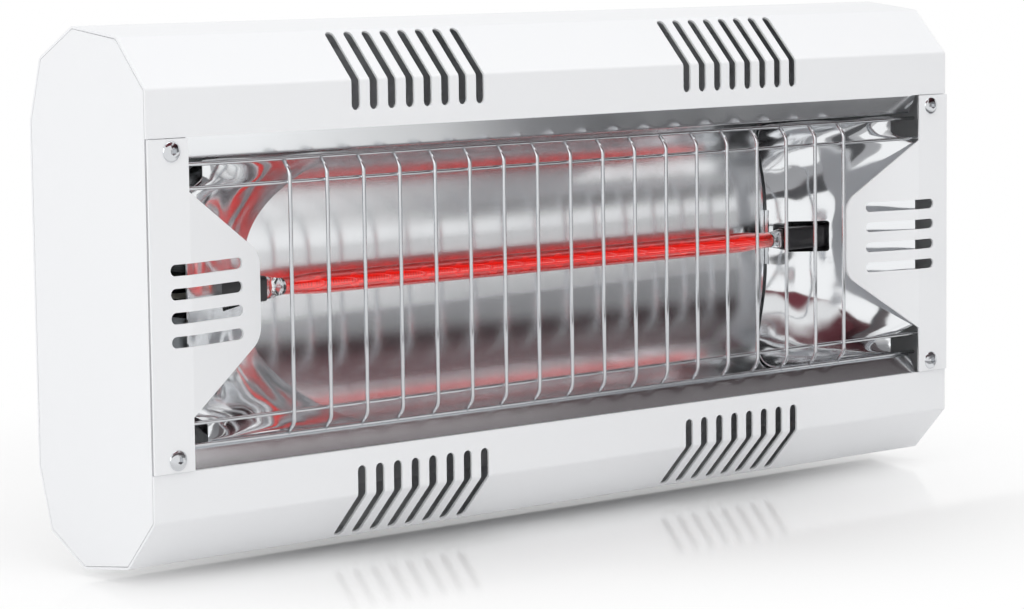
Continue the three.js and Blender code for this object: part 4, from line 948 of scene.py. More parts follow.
class HEATER_OT_reflector(bpy.types.Operator):
    """Folds the polished trough and its slanted end sheets, a little uneven as rolled sheet is"""
    bl_idname = "heater.reflector"
    bl_label = "Reflector"

    def execute(self, context):
        sizes = context.scene.heater_reflector
        self.fold_x = HALF_LENGTH - context.scene.heater_housing.bezel
        self.behind_guard = GUARD_HIGH.y + context.scene.heater_guard.wire / 2
        self.behind_sheet = FRONT + context.scene.heater_housing.sheet + CLEAR
        self.trough(sizes, context.scene.heater_screws)
        for side in SIDES:
            self.end_sheet(sizes, side)
        return {"FINISHED"}

    def trough(self, sizes, screws):
        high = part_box("reflector_trough")[1]
        lip = Vector((FRONT + sizes.lip_depth, BEZEL_EDGE - sizes.lip_height))
        back = Vector((FRONT + sizes.depth, sizes.back / 2))
        flange = [Vector((self.behind_sheet, high.z)), Vector((self.behind_sheet, BEZEL_EDGE - CLEAR))]
        upper = flange + quarter_oval(lip, back, 36)
        path = (upper + mirrored(upper))[::-1]
        curved = range(3, len(path) - 3)
        section = self.refined(folded_section(path, sizes.sheet, mm(0.8), 5, curved), mm(4))
        wall_end = self.fold_x - sizes.wall_end_gap
        step, ripple_starts = mm(5), mm(8)

        def bend(p):
            held = clamped((p.y - FRONT - sizes.lip_depth) / ripple_starts)
            return p + Vector((0, 1, 0)) * ripple_of(sizes, p) * held

        places = list(stepped(-high.x, -wall_end, step)) + list(stepped(-wall_end, wall_end, step))[1:]
        places += list(stepped(wall_end, high.x, step))[1:]
        trough = solid("reflector_trough_sheet", sheet_strip(Form(), section, places, bend=bend))
        cuts = Form()
        behind = FRONT + sizes.depth + mm(3)
        for side, sign in SIDES.items():
            ends = sorted((sign * wall_end, sign * (high.x + PAST)))
            box = plate_outline((FRONT + sizes.lip_depth, -BEZEL_EDGE), (behind, BEZEL_EDGE), mm(0.5))
            prism(cuts, box, *ends, along_x)
            hole_for(cuts, f"holder_screw_{side}", screws.holder_thread, FRONT + sizes.depth - mm(4), behind)
        combined(trough, "DIFFERENCE", cuts)
        softened(trough, mm(0.1), SHEET_ANGLE)
        finished(trough, "polished_aluminium", "reflector_trough")

    def refined(self, section, step):
        """Adds points on the long flats of both faces, so that they can ripple."""
        face, other = section
        fine_face, fine_other = [face[0]], [other[0]]
        for a, b, c, d in zip(face, face[1:], other, other[1:]):
            pieces = max(1, round((b - a).length / step))
            for i in range(1, pieces + 1):
                fine_face.append(a.lerp(b, i / pieces))
                fine_other.append(c.lerp(d, i / pieces))
        return fine_face, fine_other

    def level_lines(self, sizes):
        """The end sheet's level lines from top to bottom, each from its front edge to its back edge."""
        front_y, back_y = FRONT + sizes.end_front, FRONT + sizes.end_back
        wall = quarter_oval(Vector((self.behind_guard, BEZEL_EDGE - sizes.lip_height - sizes.inset)),
                            Vector((back_y, sizes.back / 2)), WALL_STEPS)
        upper = []
        for i, p in enumerate(wall):
            towards_lip = math.cos(math.pi / 2 * i / WALL_STEPS) ** 2
            run = sizes.run + (sizes.lip_run - sizes.run) * towards_lip
            front = Vector((self.fold_x, front_y, p.y)).lerp(
                Vector((self.fold_x - sizes.corner, self.behind_guard, p.y)),
                clamped((p.y - sizes.slant_from) / sizes.slant_over))
            upper.append((front, Vector((self.fold_x - run, p.x, p.y))))
        middle = [(Vector((self.fold_x, front_y, mm(z))), Vector((self.fold_x - sizes.run, back_y, mm(z))))
                  for z in range(12, -13, -3)]
        down = Vector((1, 1, -1))
        lower = [(front * down, back * down) for front, back in reversed(upper)]
        return upper + middle + lower

    def end_sheet(self, sizes, side):
        sign = SIDES[side]
        lines = self.level_lines(sizes)
        last = len(lines) - 1
        cap_low, cap_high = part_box(f"lamp_cap_{side}")
        window_half = (cap_high.z - cap_low.z) / 2 + sizes.window_margin
        window_x = self.fold_x - (sizes.window_from + sizes.window_to) / 2

        def behind(i):
            front, back = lines[i]
            across = lines[min(i + 1, last)][1] - lines[max(i - 1, 0)][1]
            return across.cross(back - front).normalized()

        def place(p, i):
            front, back = lines[i]
            here = front.lerp(back, p.x)
            out = Vector((here.x - window_x, 0, here.z))
            fan = math.sin(sizes.creases * math.atan2(abs(out.z), out.x)) * min(1, out.length / sizes.fan)
            held = min(1, EDGE_HOLD * p.x) * min(1, EDGE_HOLD * (1 - p.x))
            lift = sizes.crease * held * fan + ripple_of(sizes, here) * held
            here += behind(i) * (lift + p.y * sizes.sheet)
            return Vector((sign * here.x, here.y, here.z))

        section = [[Vector((j / SHEET_COLUMNS, h)) for j in range(SHEET_COLUMNS + 1)] for h in (0, 1)]
        sheet = solid(f"slanted_end_sheet_{side}", sheet_strip(Form(), section, range(last + 1), place))
        window = on_side(plate_outline(
            (self.fold_x - sizes.window_to, -window_half), (self.fold_x - sizes.window_from, window_half),
            mm(1.5)), sign)
        combined(sheet, "DIFFERENCE", prism(Form(), window, FRONT, FRONT + sizes.depth, along_y))
        combined(sheet, "UNION", self.foot(sizes, sign))
        combined(sheet, "UNION", self.tabs(sizes, sign))
        softened(sheet, mm(0.1), SHEET_ANGLE)
        finished(sheet, "polished_aluminium", f"end_reflector_{side}")
        sheet.data.materials[0] = finish("bent_aluminium")

    def foot(self, sizes, sign):
        """The foot that lies on the trough's back strip, and the heel that joins it to the sheet."""
        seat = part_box("end_reflector_right")[1].y
        start = self.fold_x - sizes.run
        half = sizes.back / 2
        path = [Vector((x, y)) for x, y in (
            (start + sizes.foot, seat), (start, seat), (start, FRONT + sizes.heel))]
        section = folded_section(path, -sizes.sheet, mm(0.3))
        return sheet_strip(Form(), section, (-half, half), upward(sign))

    def tabs(self, sizes, sign):
        """The two tabs behind the cover's flat part."""
        form = Form()
        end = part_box("end_reflector_right")[1].x
        for level in LEVELS.values():
            low, high = sorted((level * sizes.tab_from, level * sizes.tab_to))
            tab = on_side(plate_outline((self.fold_x - sizes.sheet / 2, low), (end, high), mm(0.3)), sign)
            prism(form, tab, self.behind_sheet, self.behind_sheet + sizes.sheet, along_y)
        return form


# ---- Wire guard ------------------------------------------------------------------------------
# A weld's bead: radius and height, to the wire's diameter.
WELD_BEAD = ((0.02, -0.35), (0.45, -0.252), (0.62, 0), (0.45, 0.252), (0.02, 0.35))


class HEATER_OT_guard(bpy.types.Operator):
    """Bends and welds the round wires of the guard"""
    bl_idname = "heater.guard"
    bl_label = "Wire guard"

    def execute(self, context):
        sizes = context.scene.heater_guard
        form = Form()
        front_y = GUARD_LOW.y + sizes.wire / 2
        back_y = GUARD_HIGH.y - sizes.wire / 2
        rail_y = front_y + sizes.wire - sizes.weld
        half = round_path([
            Vector((back_y, sizes.outer)), Vector((front_y, sizes.bend)), Vector((front_y, 0))],
            lambda i: 3 * sizes.wire, 8)[:-1]
        profile = half + mirrored(half)
        for i in range(sizes.uprights):
            for sign in SIDES.values():
                x = sign * (i + 0.5) * sizes.pitch
                wire(form, [Vector((x, p.x, p.y - sizes.drop)) for p in profile], sizes.wire, domed=False)
                for level in LEVELS.values():
                    self.weld(form, x, rail_y - sizes.wire / 2, level * sizes.rail - sizes.drop, sizes.wire)
        outer_half = HALF_LENGTH - context.scene.heater_housing.bezel + sizes.lap
        for level in LEVELS.values():
            for y, z, reach in ((rail_y, sizes.rail, GUARD_HIGH.x), (back_y, sizes.outer, outer_half)):
                rail = [Vector((x, y, level * z - sizes.drop)) for x in stepped(-reach, reach, mm(20))]
                wire(form, rail, sizes.wire, domed=False)
        finished(solid("guard_wires", form), "bright_wire", "wire_guard")
        return {"FINISHED"}

    def weld(self, form, x, y, z, size):
        """The bead of metal pressed out where two wires were welded."""
        turned(form, [(r * size, h * size) for r, h in WELD_BEAD], 12,
               lambda p, h: Vector((x + p.x, y + h, z + p.y)))


# ---- Lamp ------------------------------------------------------------------------------------
TUBE_RADIUS = (TUBE_HIGH.z - TUBE_LOW.z) / 2
DRAWN_STEPS = 12
TAIL = mm(10)           # from the tube's end to the coil's first turn
SUPPORT_TURNS = 2
SUPPORT_LEAN = mm(1.2)  # how far a support runs along the coil
SUPPORT_PLAY = mm(0.35)
PINCH_STEPS = 8
PINCH_POWER = 0.28      # 1 is a round section, and 0 a square one


class HEATER_OT_lamp(bpy.types.Operator):
    """Draws the quartz tube, winds its coil and presses its flattened ends"""
    bl_idname = "heater.lamp"
    bl_label = "Quartz lamp"

    def execute(self, context):
        sizes = context.scene.heater_lamp
        self.tube(sizes)
        self.coil(sizes)
        for side in SIDES:
            self.pinch(sizes, side)
            dressed(f"lamp_cap_{side}", mm(0.3))
            dressed(f"lamp_holder_{side}", mm(0.5))
        return {"FINISHED"}

    def tube(self, sizes):
        neck = sizes.neck / 2
        edge = mm(0.4)
        drawn = []
        for i in range(DRAWN_STEPS + 1):
            t = i / DRAWN_STEPS
            reach = TUBE_END - edge - (sizes.drawn_end - edge) * t
            drawn.append((neck + (TUBE_RADIUS - neck) * eased(t), reach))
        outside = [(r, -x) for r, x in drawn] + drawn[::-1]
        bore = [(r - sizes.wall, x) for r, x in reversed(outside)]
        rim, lip = neck - edge / 2, neck - sizes.wall + edge / 2
        profile = [(rim, -TUBE_END), *outside, (rim, TUBE_END), (lip, TUBE_END), *bore, (lip, -TUBE_END),
                   (rim, -TUBE_END)]
        tube = solid("lamp_tube", turned(Form(), profile, 48, lambda p, h: Vector((h, LAMP_Y + p.x, p.y))))
        softened(tube, mm(0.05))
        finished(tube, "ruby_quartz", "quartz_tube")

    def helix(self, start, end, inner, outer, turns, steps):
        """Points on a helix round the lamp's axis that may grow from one radius to another."""
        points = []
        for i in range(turns * steps + 1):
            t, angle = i / (turns * steps), math.tau * i / steps
            radius = inner + (outer - inner) * t
            points.append(Vector((
                start + (end - start) * t, LAMP_Y + radius * math.cos(angle), radius * math.sin(angle))))
        return points

    def coil(self, sizes):
        form = Form()
        half = TUBE_END - TAIL
        radius = (sizes.coil - sizes.coil_wire) / 2
        ends = [Vector((sign * TUBE_END, LAMP_Y + radius, 0)) for sign in SIDES.values()]
        turns = round(2 * half / sizes.coil_pitch)
        coil = self.helix(-half, half, radius, radius, turns, 12)
        wire(form, [ends[0], *coil, ends[1]], sizes.coil_wire, sides=6)
        for i in range(sizes.supports):
            x = -half + 2 * half * (i + 0.5) / sizes.supports
            support = self.helix(x, x + SUPPORT_LEAN, radius + sizes.coil_wire,
                                 TUBE_RADIUS - sizes.wall - SUPPORT_PLAY, SUPPORT_TURNS, 18)
            wire(form, support, sizes.coil_wire * 0.9, sides=6)
        finished(solid("tungsten_coil", form), "tungsten", "filament")

    def pinch(self, sizes, side):
        sign = SIDES[side]
        low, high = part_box(f"lamp_pinch_{side}")
        start, end = sorted((abs(low.x), abs(high.x)))
        neck, flat = sizes.neck / 2, sizes.pinch_thickness / 2

        def ring(x, depth, height, power):
            loop = []
            for p in circle(1, 40):
                y = math.copysign(abs(p.x) ** power, p.x) * depth
                z = math.copysign(abs(p.y) ** power, p.y) * height
                loop.append(Vector((sign * x, LAMP_Y + y, z)))
            return loop

        loops = []
        for i in range(PINCH_STEPS + 1):
            t = i / PINCH_STEPS
            ease = eased(t)
            loops.append(ring(start + sizes.pinch_taper * t, neck + (flat - neck) * ease,
                              neck + (TUBE_RADIUS - neck) * ease, 1 + (PINCH_POWER - 1) * ease))
        loops.append(ring(end - mm(0.4), flat, TUBE_RADIUS, PINCH_POWER))
        loops.append(ring(end, flat - mm(0.3), TUBE_RADIUS, PINCH_POWER))
        form = rings(Form(), loops)
        foil_start, foil_end, point = start + sizes.pinch_taper + mm(1.5), end - mm(2), mm(1.5)
        thick, wide, narrow = sizes.foil_thickness / 2, sizes.foil / 2, mm(1)
        foil = []
        for x, half in ((foil_start, narrow), (foil_start + point, wide), (foil_end - point, wide),
                        (foil_end, narrow)):
            foil.append([Vector((sign * x, LAMP_Y + y, z)) for y, z in (
                (-thick, -half), (thick, -half), (thick, half), (-thick, half))])
        rings(form, foil, finish=1)
        lead = [Vector((sign * x, LAMP_Y + mm(0.5), 0))
                for x in stepped(start + mm(1), foil_start + mm(3), mm(2))]
        wire(form, lead, sizes.lead, sides=10, finish=1)
        pinch = finished(solid(f"pinched_glass_{side}", form), "clear_quartz", f"lamp_pinch_{side}")
        pinch.data.materials.append(finish("foil"))


# ---- Screws, nuts and threads ----------------------------------------------------------------
THREAD_DEPTH = 0.6      # of the pitch
THREAD_FLANK = 1.25     # how steeply a thread climbs to its flat crest
ROWS_IN_TURN = 8        # rings of points in each turn of a thread
SUNK = mm(0.01)         # how far a shank starts inside its head
PAN_RISE = 0.63         # a pan head's height to its radius
PAN_RIM = 0.45          # where its crown starts, to its height
SLOT_HALF = 0.14        # half its slot's width, to its radius
SLOT_FLOOR = 0.5        # its slot's floor, to its height
CHAMFER_CIRCLE = 0.95   # the circle on a chamfered six-sided face, to its width across flats
CHAMFER_ANGLE = math.radians(30)


def facing(node, y, way=1):
    """Places (outline point, height) about a node's axis, heights running back from y, or forward for -1."""
    middle = centre_of(node)
    return lambda p, h: Vector((middle.x + p.x, y + way * h, middle.z + p.y))


def thread_rings(diameter, pitch, low, high, place, sides=28):
    """The rings of a helical thread between two heights, its first and last turn run out."""
    rows = max(2, round((high - low) / pitch * ROWS_IN_TURN))
    loops = []
    for i in range(rows + 1):
        run_out = min(1, i / ROWS_IN_TURN, (rows - i) / ROWS_IN_TURN)
        loop = []
        for j, p in enumerate(circle(1, sides)):
            phase = (i / ROWS_IN_TURN - j / sides) % 1
            crest = min(1, THREAD_FLANK * (1 - abs(2 * phase - 1)))
            radius = diameter / 2 - THREAD_DEPTH * pitch * (1 - crest * run_out)
            loop.append(place(p * radius, low + (high - low) * i / rows))
        loops.append(loop)
    return loops


def threaded(diameter, pitch, low, high, place):
    return rings(Form(), thread_rings(diameter, pitch, low, high, place))


def dome(inner, outer, low, high, steps):
    """(radius, height) pairs of a domed end, from its rim up."""
    return [(p.x, p.y) for p in reversed(quarter_oval(Vector((inner, high)), Vector((outer, low)), steps))]


def hexagon(across):
    return circle(across / math.sqrt(3), 6, math.pi / 6)


def six_sided(name, across, low, high, place, chamfered=(True, True)):
    """A six-sided solid, its corners turned to a chamfer at the lower end, the upper end or both."""
    corner = across / math.sqrt(3)
    face = CHAMFER_CIRCLE * across / 2
    drops = [(corner - face) * math.tan(CHAMFER_ANGLE) if cut else 0 for cut in chamfered]
    ends = [face if cut else corner for cut in chamfered]
    profile = [(ends[0], low), (corner + SLIVER, low + drops[0] + SLIVER / 10),
               (corner + SLIVER, high - drops[1] - SLIVER / 10), (ends[1], high)]
    built = solid(name, prism(Form(), hexagon(across), low, high, place))
    return combined(built, "INTERSECT", turned(Form(), profile, 72, place))


def joined(built, form):
    """Adds a closed form to a piece, where the two meet inside it."""
    other = solid("added", form)
    work = bmesh.new()
    work.from_mesh(built.data)
    work.from_mesh(other.data)
    work.to_mesh(built.data)
    work.free()
    bpy.data.objects.remove(other)


def nut(node, across, thread, slot="zinc_steel", edge=mm(0.08)):
    """A six-sided nut with chamfered corners and a countersunk bore."""
    low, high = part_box(node)
    half = (high.y - low.y) / 2
    place = facing(node, centre_of(node).y)
    built = six_sided(f"chamfered_{node}", across, -half, half, place)
    bore, sink = thread / 2, mm(0.5)
    profile = [(bore + sink, -half - SUNK), (bore, sink - half), (bore, half - sink),
               (bore + sink, half + SUNK)]
    combined(built, "DIFFERENCE", turned(Form(), profile, 48, place))
    softened(built, edge)
    finished(built, slot, node)


class HEATER_OT_screws(bpy.types.Operator):
    """Heads and threads the screws of the housing and makes its nuts"""
    bl_idname = "heater.screws"
    bl_label = "Screws"

    def execute(self, context):
        sizes = context.scene.heater_screws
        for side in SIDES:
            self.pan_screw(f"holder_screw_{side}", sizes.holder_thread, sizes.holder_pitch)
            for level in LEVELS:
                place = f"{side}_{level}"
                self.cover_screw(sizes, f"cover_screw_{place}")
                self.pan_screw(f"rear_screw_{place}", sizes.holder_thread, sizes.rear_pitch)
                self.pan_screw(f"bracket_screw_{place}", sizes.bracket_thread, sizes.bracket_pitch)
                nut(f"bracket_nut_{place}", sizes.nut_across, sizes.bracket_thread)
        return {"FINISHED"}

    def cover_screw(self, sizes, node):
        """A domed screw with a six-sided socket. Its head looks forward."""
        low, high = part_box(node)
        seat = low.y + sizes.dome_rise
        place = facing(node, seat, -1)
        head, edge = (high.x - low.x) / 2, mm(0.15)
        profile = [(head - edge, 0), (head, edge)] + dome(0, head, sizes.dome_rim, sizes.dome_rise, 14)
        screw = solid(f"domed_{node}", turned(Form(), profile, 64, place))
        floor = sizes.dome_rise - sizes.socket_depth
        combined(screw, "DIFFERENCE", prism(
            Form(), hexagon(sizes.socket), floor, sizes.dome_rise + PAST, place))
        softened(screw, mm(0.06))
        joined(screw, threaded(sizes.cover_thread, sizes.rear_pitch, seat - high.y, SUNK, place))
        finished(screw, "bright_screw", node)

    def pan_screw(self, node, thread, pitch):
        """A slotted pan-head screw. Its head looks backward."""
        low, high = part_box(node)
        head, edge = (high.x - low.x) / 2, mm(0.2)
        rise = head * PAN_RISE
        seat = high.y - rise
        place = facing(node, seat)
        profile = [(head - edge, 0), (head, edge)] + dome(0, head, rise * PAN_RIM, rise, 10)
        screw = solid(f"slotted_{node}", turned(Form(), profile, 48, place))
        half = head * SLOT_HALF
        slot = plate_outline((-head - PAST, -half), (head + PAST, half), half * 0.3)
        combined(screw, "DIFFERENCE", prism(Form(), slot, rise * SLOT_FLOOR, rise + PAST, place))
        softened(screw, mm(0.08))
        joined(screw, threaded(thread, pitch, low.y - seat, SUNK, place))
        finished(screw, "zinc_steel", node)


# ---- Wiring ----------------------------------------------------------------------------------
class HEATER_OT_wiring(bpy.types.Operator):
    """Finishes the leads, the terminal block and the earth tag, threads the earth stud and makes its nut"""
    bl_idname = "heater.wiring"
    bl_label = "Wiring"

    def execute(self, context):
        sizes = context.scene.heater_screws
        dressed("terminal_block", mm(0.3))
        dressed("earth_tag", mm(0.15))
        for node in ("lamp_lead_left", "lamp_lead_right", "earth_lead"):
            dressed(node, mm(0.01))
        nut("earth_nut", sizes.nut_across, sizes.bracket_thread)
        self.stud(sizes)
        return {"FINISHED"}

    def stud(self, sizes):
        low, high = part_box("earth_stud")
        place = facing("earth_stud", high.y)
        head = mm(3)
        stud = six_sided("threaded_earth_stud", sizes.nut_across, -head, 0, place, (False, True))
        softened(stud, mm(0.1))
        joined(stud, threaded(
            sizes.bracket_thread, sizes.bracket_pitch, low.y - high.y, mm(0.1) - head, place))
        finished(stud, "zinc_steel", "earth_stud")


# ---- Cable gland -----------------------------------------------------------------------------
class HEATER_OT_gland(bpy.types.Operator):
    """Moulds the cable gland: its threaded body, its domed cap with grips, its seal and its nut"""
    bl_idname = "heater.gland"
    bl_label = "Cable gland"

    def execute(self, context):
        sizes = context.scene.heater_gland
        self.body(sizes)
        self.cap(sizes)
        dressed("gland_seal", mm(0.4))
        nut("gland_nut", sizes.across, sizes.thread, "black_nylon", mm(0.2))
        return {"FINISHED"}

    def rod(self, diameter, low, high, place):
        return turned(Form(), [(diameter / 2, low), (diameter / 2, high)], 64, place)

    def body(self, sizes):
        low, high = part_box("gland_body")
        place = facing("gland_body", 0)
        flange = BACK + CLEAR
        body = six_sided("gland_threaded_body", sizes.across, flange, flange + sizes.flange, place)
        core = sizes.thread - 2 * (THREAD_DEPTH * sizes.pitch + mm(0.05))
        combined(body, "UNION", self.rod(core, low.y, high.y, place))
        combined(body, "DIFFERENCE", self.rod(sizes.bore, low.y - PAST, high.y + PAST, place))
        softened(body, mm(0.25))
        end, lap = mm(0.2), mm(0.1)
        for start, stop in ((low.y + end, flange + lap), (flange + sizes.flange - lap, high.y - end)):
            joined(body, self.thread_sleeve(sizes, start, stop, core / 2 - mm(0.3), place))
        finished(body, "black_nylon", "gland_body")

    def thread_sleeve(self, sizes, low, high, inside, place):
        """The helical thread round the body, as a closed sleeve."""
        outer = thread_rings(sizes.thread, sizes.pitch, low, high, place, 40)
        inner = [[place(p * inside, h) for p in circle(1, 40)] for h in (high, low)]
        return rings(Form(), outer + inner + outer[:1], caps=False)

    def cap(self, sizes):
        low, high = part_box("gland_cap")
        place = facing("gland_cap", 0)
        nose = high.y - sizes.nose
        barrel, mouth = sizes.barrel / 2, (sizes.bore + sizes.across) / 4
        profile = [(barrel, low.y)] + dome(mouth, barrel, nose, high.y, 10)
        cap = solid("gland_domed_cap", turned(Form(), profile, 72, place))
        grip = six_sided("grip", sizes.across, low.y, low.y + sizes.grip, place, (False, True))
        combined(cap, "UNION", form_of(grip))
        ribs = Form()
        for out in circle(barrel, sizes.ribs):
            rib = [out + p for p in circle(sizes.groove, 10)]
            prism(ribs, rib, low.y + sizes.grip, nose - mm(0.5), place)
        combined(cap, "DIFFERENCE", ribs)
        combined(cap, "DIFFERENCE", self.rod(sizes.thread, low.y - PAST, nose, place))
        combined(cap, "DIFFERENCE", self.rod(sizes.bore, low.y - PAST, high.y + PAST, place))
        softened(cap, mm(0.2))
        finished(cap, "black_nylon", "gland_cap")


def form_of(built):
    """The form of a piece that was made to be joined to another, which is then taken away."""
    form = Form().add([v.co for v in built.data.vertices], [list(p.vertices) for p in built.data.polygons])
    bpy.data.objects.remove(built)
    return form


# ---- Tilting bracket -------------------------------------------------------------------------
# A wing's outline, outward from the pivot's foot and away from its axis.
WING_OUTLINE = [Vector((mm(x), mm(y))) for x, y in ((1, 0), (3.5, 15), (11, 19), (14, 11), (7.5, 0))]
WING_CORNER = mm(2.5)
WING_EDGE = mm(0.9)
# Its rounded section: depth to its thickness, and inset to its edge.
WING_SECTION = ((-0.5, 0.5), (-0.36, 0.12), (0, 0), (0.36, 0.12), (0.5, 0.5))


class HEATER_OT_bracket(bpy.types.Operator):
    """Finishes the tilting bracket, and makes its threaded pivots and cast wing nuts"""
    bl_idname = "heater.bracket"
    bl_label = "Tilting bracket"

    def execute(self, context):
        sizes = context.scene.heater_bracket
        for node in ("wall_bracket", "back_bracket"):
            dressed(node, mm(0.4))
        for side in SIDES:
            self.bolt(sizes, side)
            self.wing_nut(sizes, side)
            self.washer(sizes, f"friction_washer_{side}", "fibre")
            self.washer(sizes, f"pivot_washer_{side}", "zinc_steel")
        return {"FINISHED"}

    def on_pivot(self, node):
        """A place whose heights run outward from a piece's inner end, and the piece's length."""
        low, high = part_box(node)
        sign = math.copysign(1, low.x)
        inner, outer = sorted((abs(low.x), abs(high.x)))
        middle = (low + high) / 2
        return lambda p, h: Vector((sign * (inner + h), middle.y + p.x, middle.z + p.y)), outer - inner

    def washer(self, sizes, node, slot):
        low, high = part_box(node)
        place, reach = self.on_pivot(node)
        hole, rim = sizes.thread / 2 + mm(0.2), (high.z - low.z) / 2
        edge = mm(0.2)
        profile = [(hole, 0), (rim - edge, 0), (rim, edge), (rim, reach - edge), (rim - edge, reach),
                   (hole, reach), (hole, 0)]
        finished(solid(f"stamped_{node}", turned(Form(), profile, 64, place)), slot, node)

    def bolt(self, sizes, side):
        node = f"pivot_bolt_{side}"
        place, reach = self.on_pivot(node)
        bolt = six_sided(f"threaded_pivot_{side}", sizes.head_across, 0, sizes.head, place, (True, False))
        softened(bolt, mm(0.15))
        radius = sizes.thread / 2
        joined(bolt, turned(Form(), [(radius, sizes.head - mm(0.1)), (radius, sizes.plain)], 40, place))
        joined(bolt, threaded(sizes.thread, sizes.pitch, sizes.plain - mm(0.2), reach, place))
        finished(bolt, "zinc_steel", node)

    def wing_nut(self, sizes, side):
        node = f"wing_nut_{side}"
        place, reach = self.on_pivot(node)
        foot, nose, hub = sizes.hub_foot / 2, sizes.hub_nose / 2, sizes.hub
        foot_edge, taper, nose_edge = mm(0.5), mm(0.6), mm(0.8)
        profile = [(foot - foot_edge, 0), (foot, foot_edge), (foot - taper, mm(2)), (nose, hub - nose_edge),
                   (nose - taper, hub)]
        built = solid(f"cast_{node}", turned(Form(), profile, 56, place))
        outline = round_path(WING_OUTLINE, lambda i: WING_CORNER, 10)
        middle = sum(outline, Vector((0, 0))) / len(outline)
        for way in (-1, 1):
            loops = []
            for depth, inset in WING_SECTION:
                drawn_in = [p + (middle - p).normalized() * inset * WING_EDGE * (p.y > 0) for p in outline]
                loops.append([place(Vector((depth * sizes.wing, way * p.y)), p.x) for p in drawn_in])
            combined(built, "UNION", rings(Form(), loops))
        bore = sizes.thread / 2 - mm(0.3)
        combined(built, "DIFFERENCE", turned(Form(), [(bore, -PAST), (bore, reach + PAST)], 40, place))
        softened(built, mm(0.25))
        finished(built, "zinc_steel", node)


# ---- Stage -----------------------------------------------------------------------------------
CAMERA_PLACE = Vector((-1.15975, -1.42957, 0.16642))
CAMERA_YAW = math.radians(41.02)
CAMERA_PITCH = math.radians(-6.15)
CAMERA_ROLL = math.radians(-0.69)
CAMERA_LENS = 119.14
CAMERA_SEES = 50
FLOOR_Z = -0.132
FLOOR_HALF = 40
FLOOR_TONE = "F8F8F8"
FADE_START = 0.2
FADE_END = 0.46
ROOM_LIGHT = 0.84
# Lamps: name, place, width and power. Each looks at the middle of the heater's front.
LAMPS = (
    ("key", (-0.3, -0.8, 1.9), 1.5, 7),
    ("fill", (-2.0, -0.5, 0.5), 1.2, 6.5),
    ("low_fill", (0.9, -1.3, -0.02), 0.5, 1),
)
# A strip that only metal and glass see and that lights nothing: a painted highlight along the tube, showing
# in the metal too.
STRIP_LOW, STRIP_HIGH = (-0.7, -0.55, 0.85), (1.3, -0.45, 0.9)
STRIP_HIGHLIGHT = 12
WHITE = (1, 1, 1, 1)
PLAIN = ((0, "FFFFFF"), (1, "FFFFFF"))
# Cards: name, low corner, high corner, tones along it, and tones up it or away from the heater. They light
# nothing and cast no shadow, and only metal and glass see them: painted reflections, the grey tones painting
# dark surroundings and the red tones the lamp's red glow into the trough and the lips.
PAINTED_REFLECTIONS = (
    # painted reflection: the red tones paint the lamp's glow into the lower trough, the pale band a light
    # streak
    ("card_above", (-0.6, -0.9, 0.55), (1.8, -0.3, 0.55),
     ((0, "6A3038"), (0.28, "6A3038"), (0.31, "E8E8E8"), (0.36, "E8E8E8"), (0.4, "5A3036"),
      (0.6, "342426"), (1, "222224")),
     PLAIN),
    ("card_right", (0.25, -1.3, -0.1), (1.6, -0.6, 0.9),
     ((0, "FFFFFF"), (0.3, "8A8A8C"), (1, "6A6A6C")),
     ((0, "FFFFFF"), (0.35, "FFFFFF"), (0.5, "604044"), (1, "503034"))),
    ("card_lip", (-0.35, -0.23, -0.03), (0.8, -0.19, -0.03),
     ((0, "FFFFFF"), (0.2, "FFFFFF"), (0.304, "D8D8D8"), (0.36, "808082"), (0.416, "505052"),
      (1, "606062")),
     PLAIN),
    ("card_under", (-0.35, -0.23, -0.033), (0.8, -0.19, -0.033),
     ((0, "625A5C"), (1, "504C4E")),
     PLAIN),
    ("card_low", (-0.5, -0.4, -0.11), (0.7, -0.165, -0.11),
     ((0, "FFFFFF"), (0.4, "FFFFFF"), (0.52, "A8A8AA"), (0.65, "A8A8AA"), (1, "FFFFFF")),
     ((0, "FFFFFF"), (0.4, "FFFFFF"), (1, "E8E8E8"))),
    ("card_end", (0.19, -0.215, -0.105), (0.32, -0.165, -0.105), PLAIN, PLAIN),
)


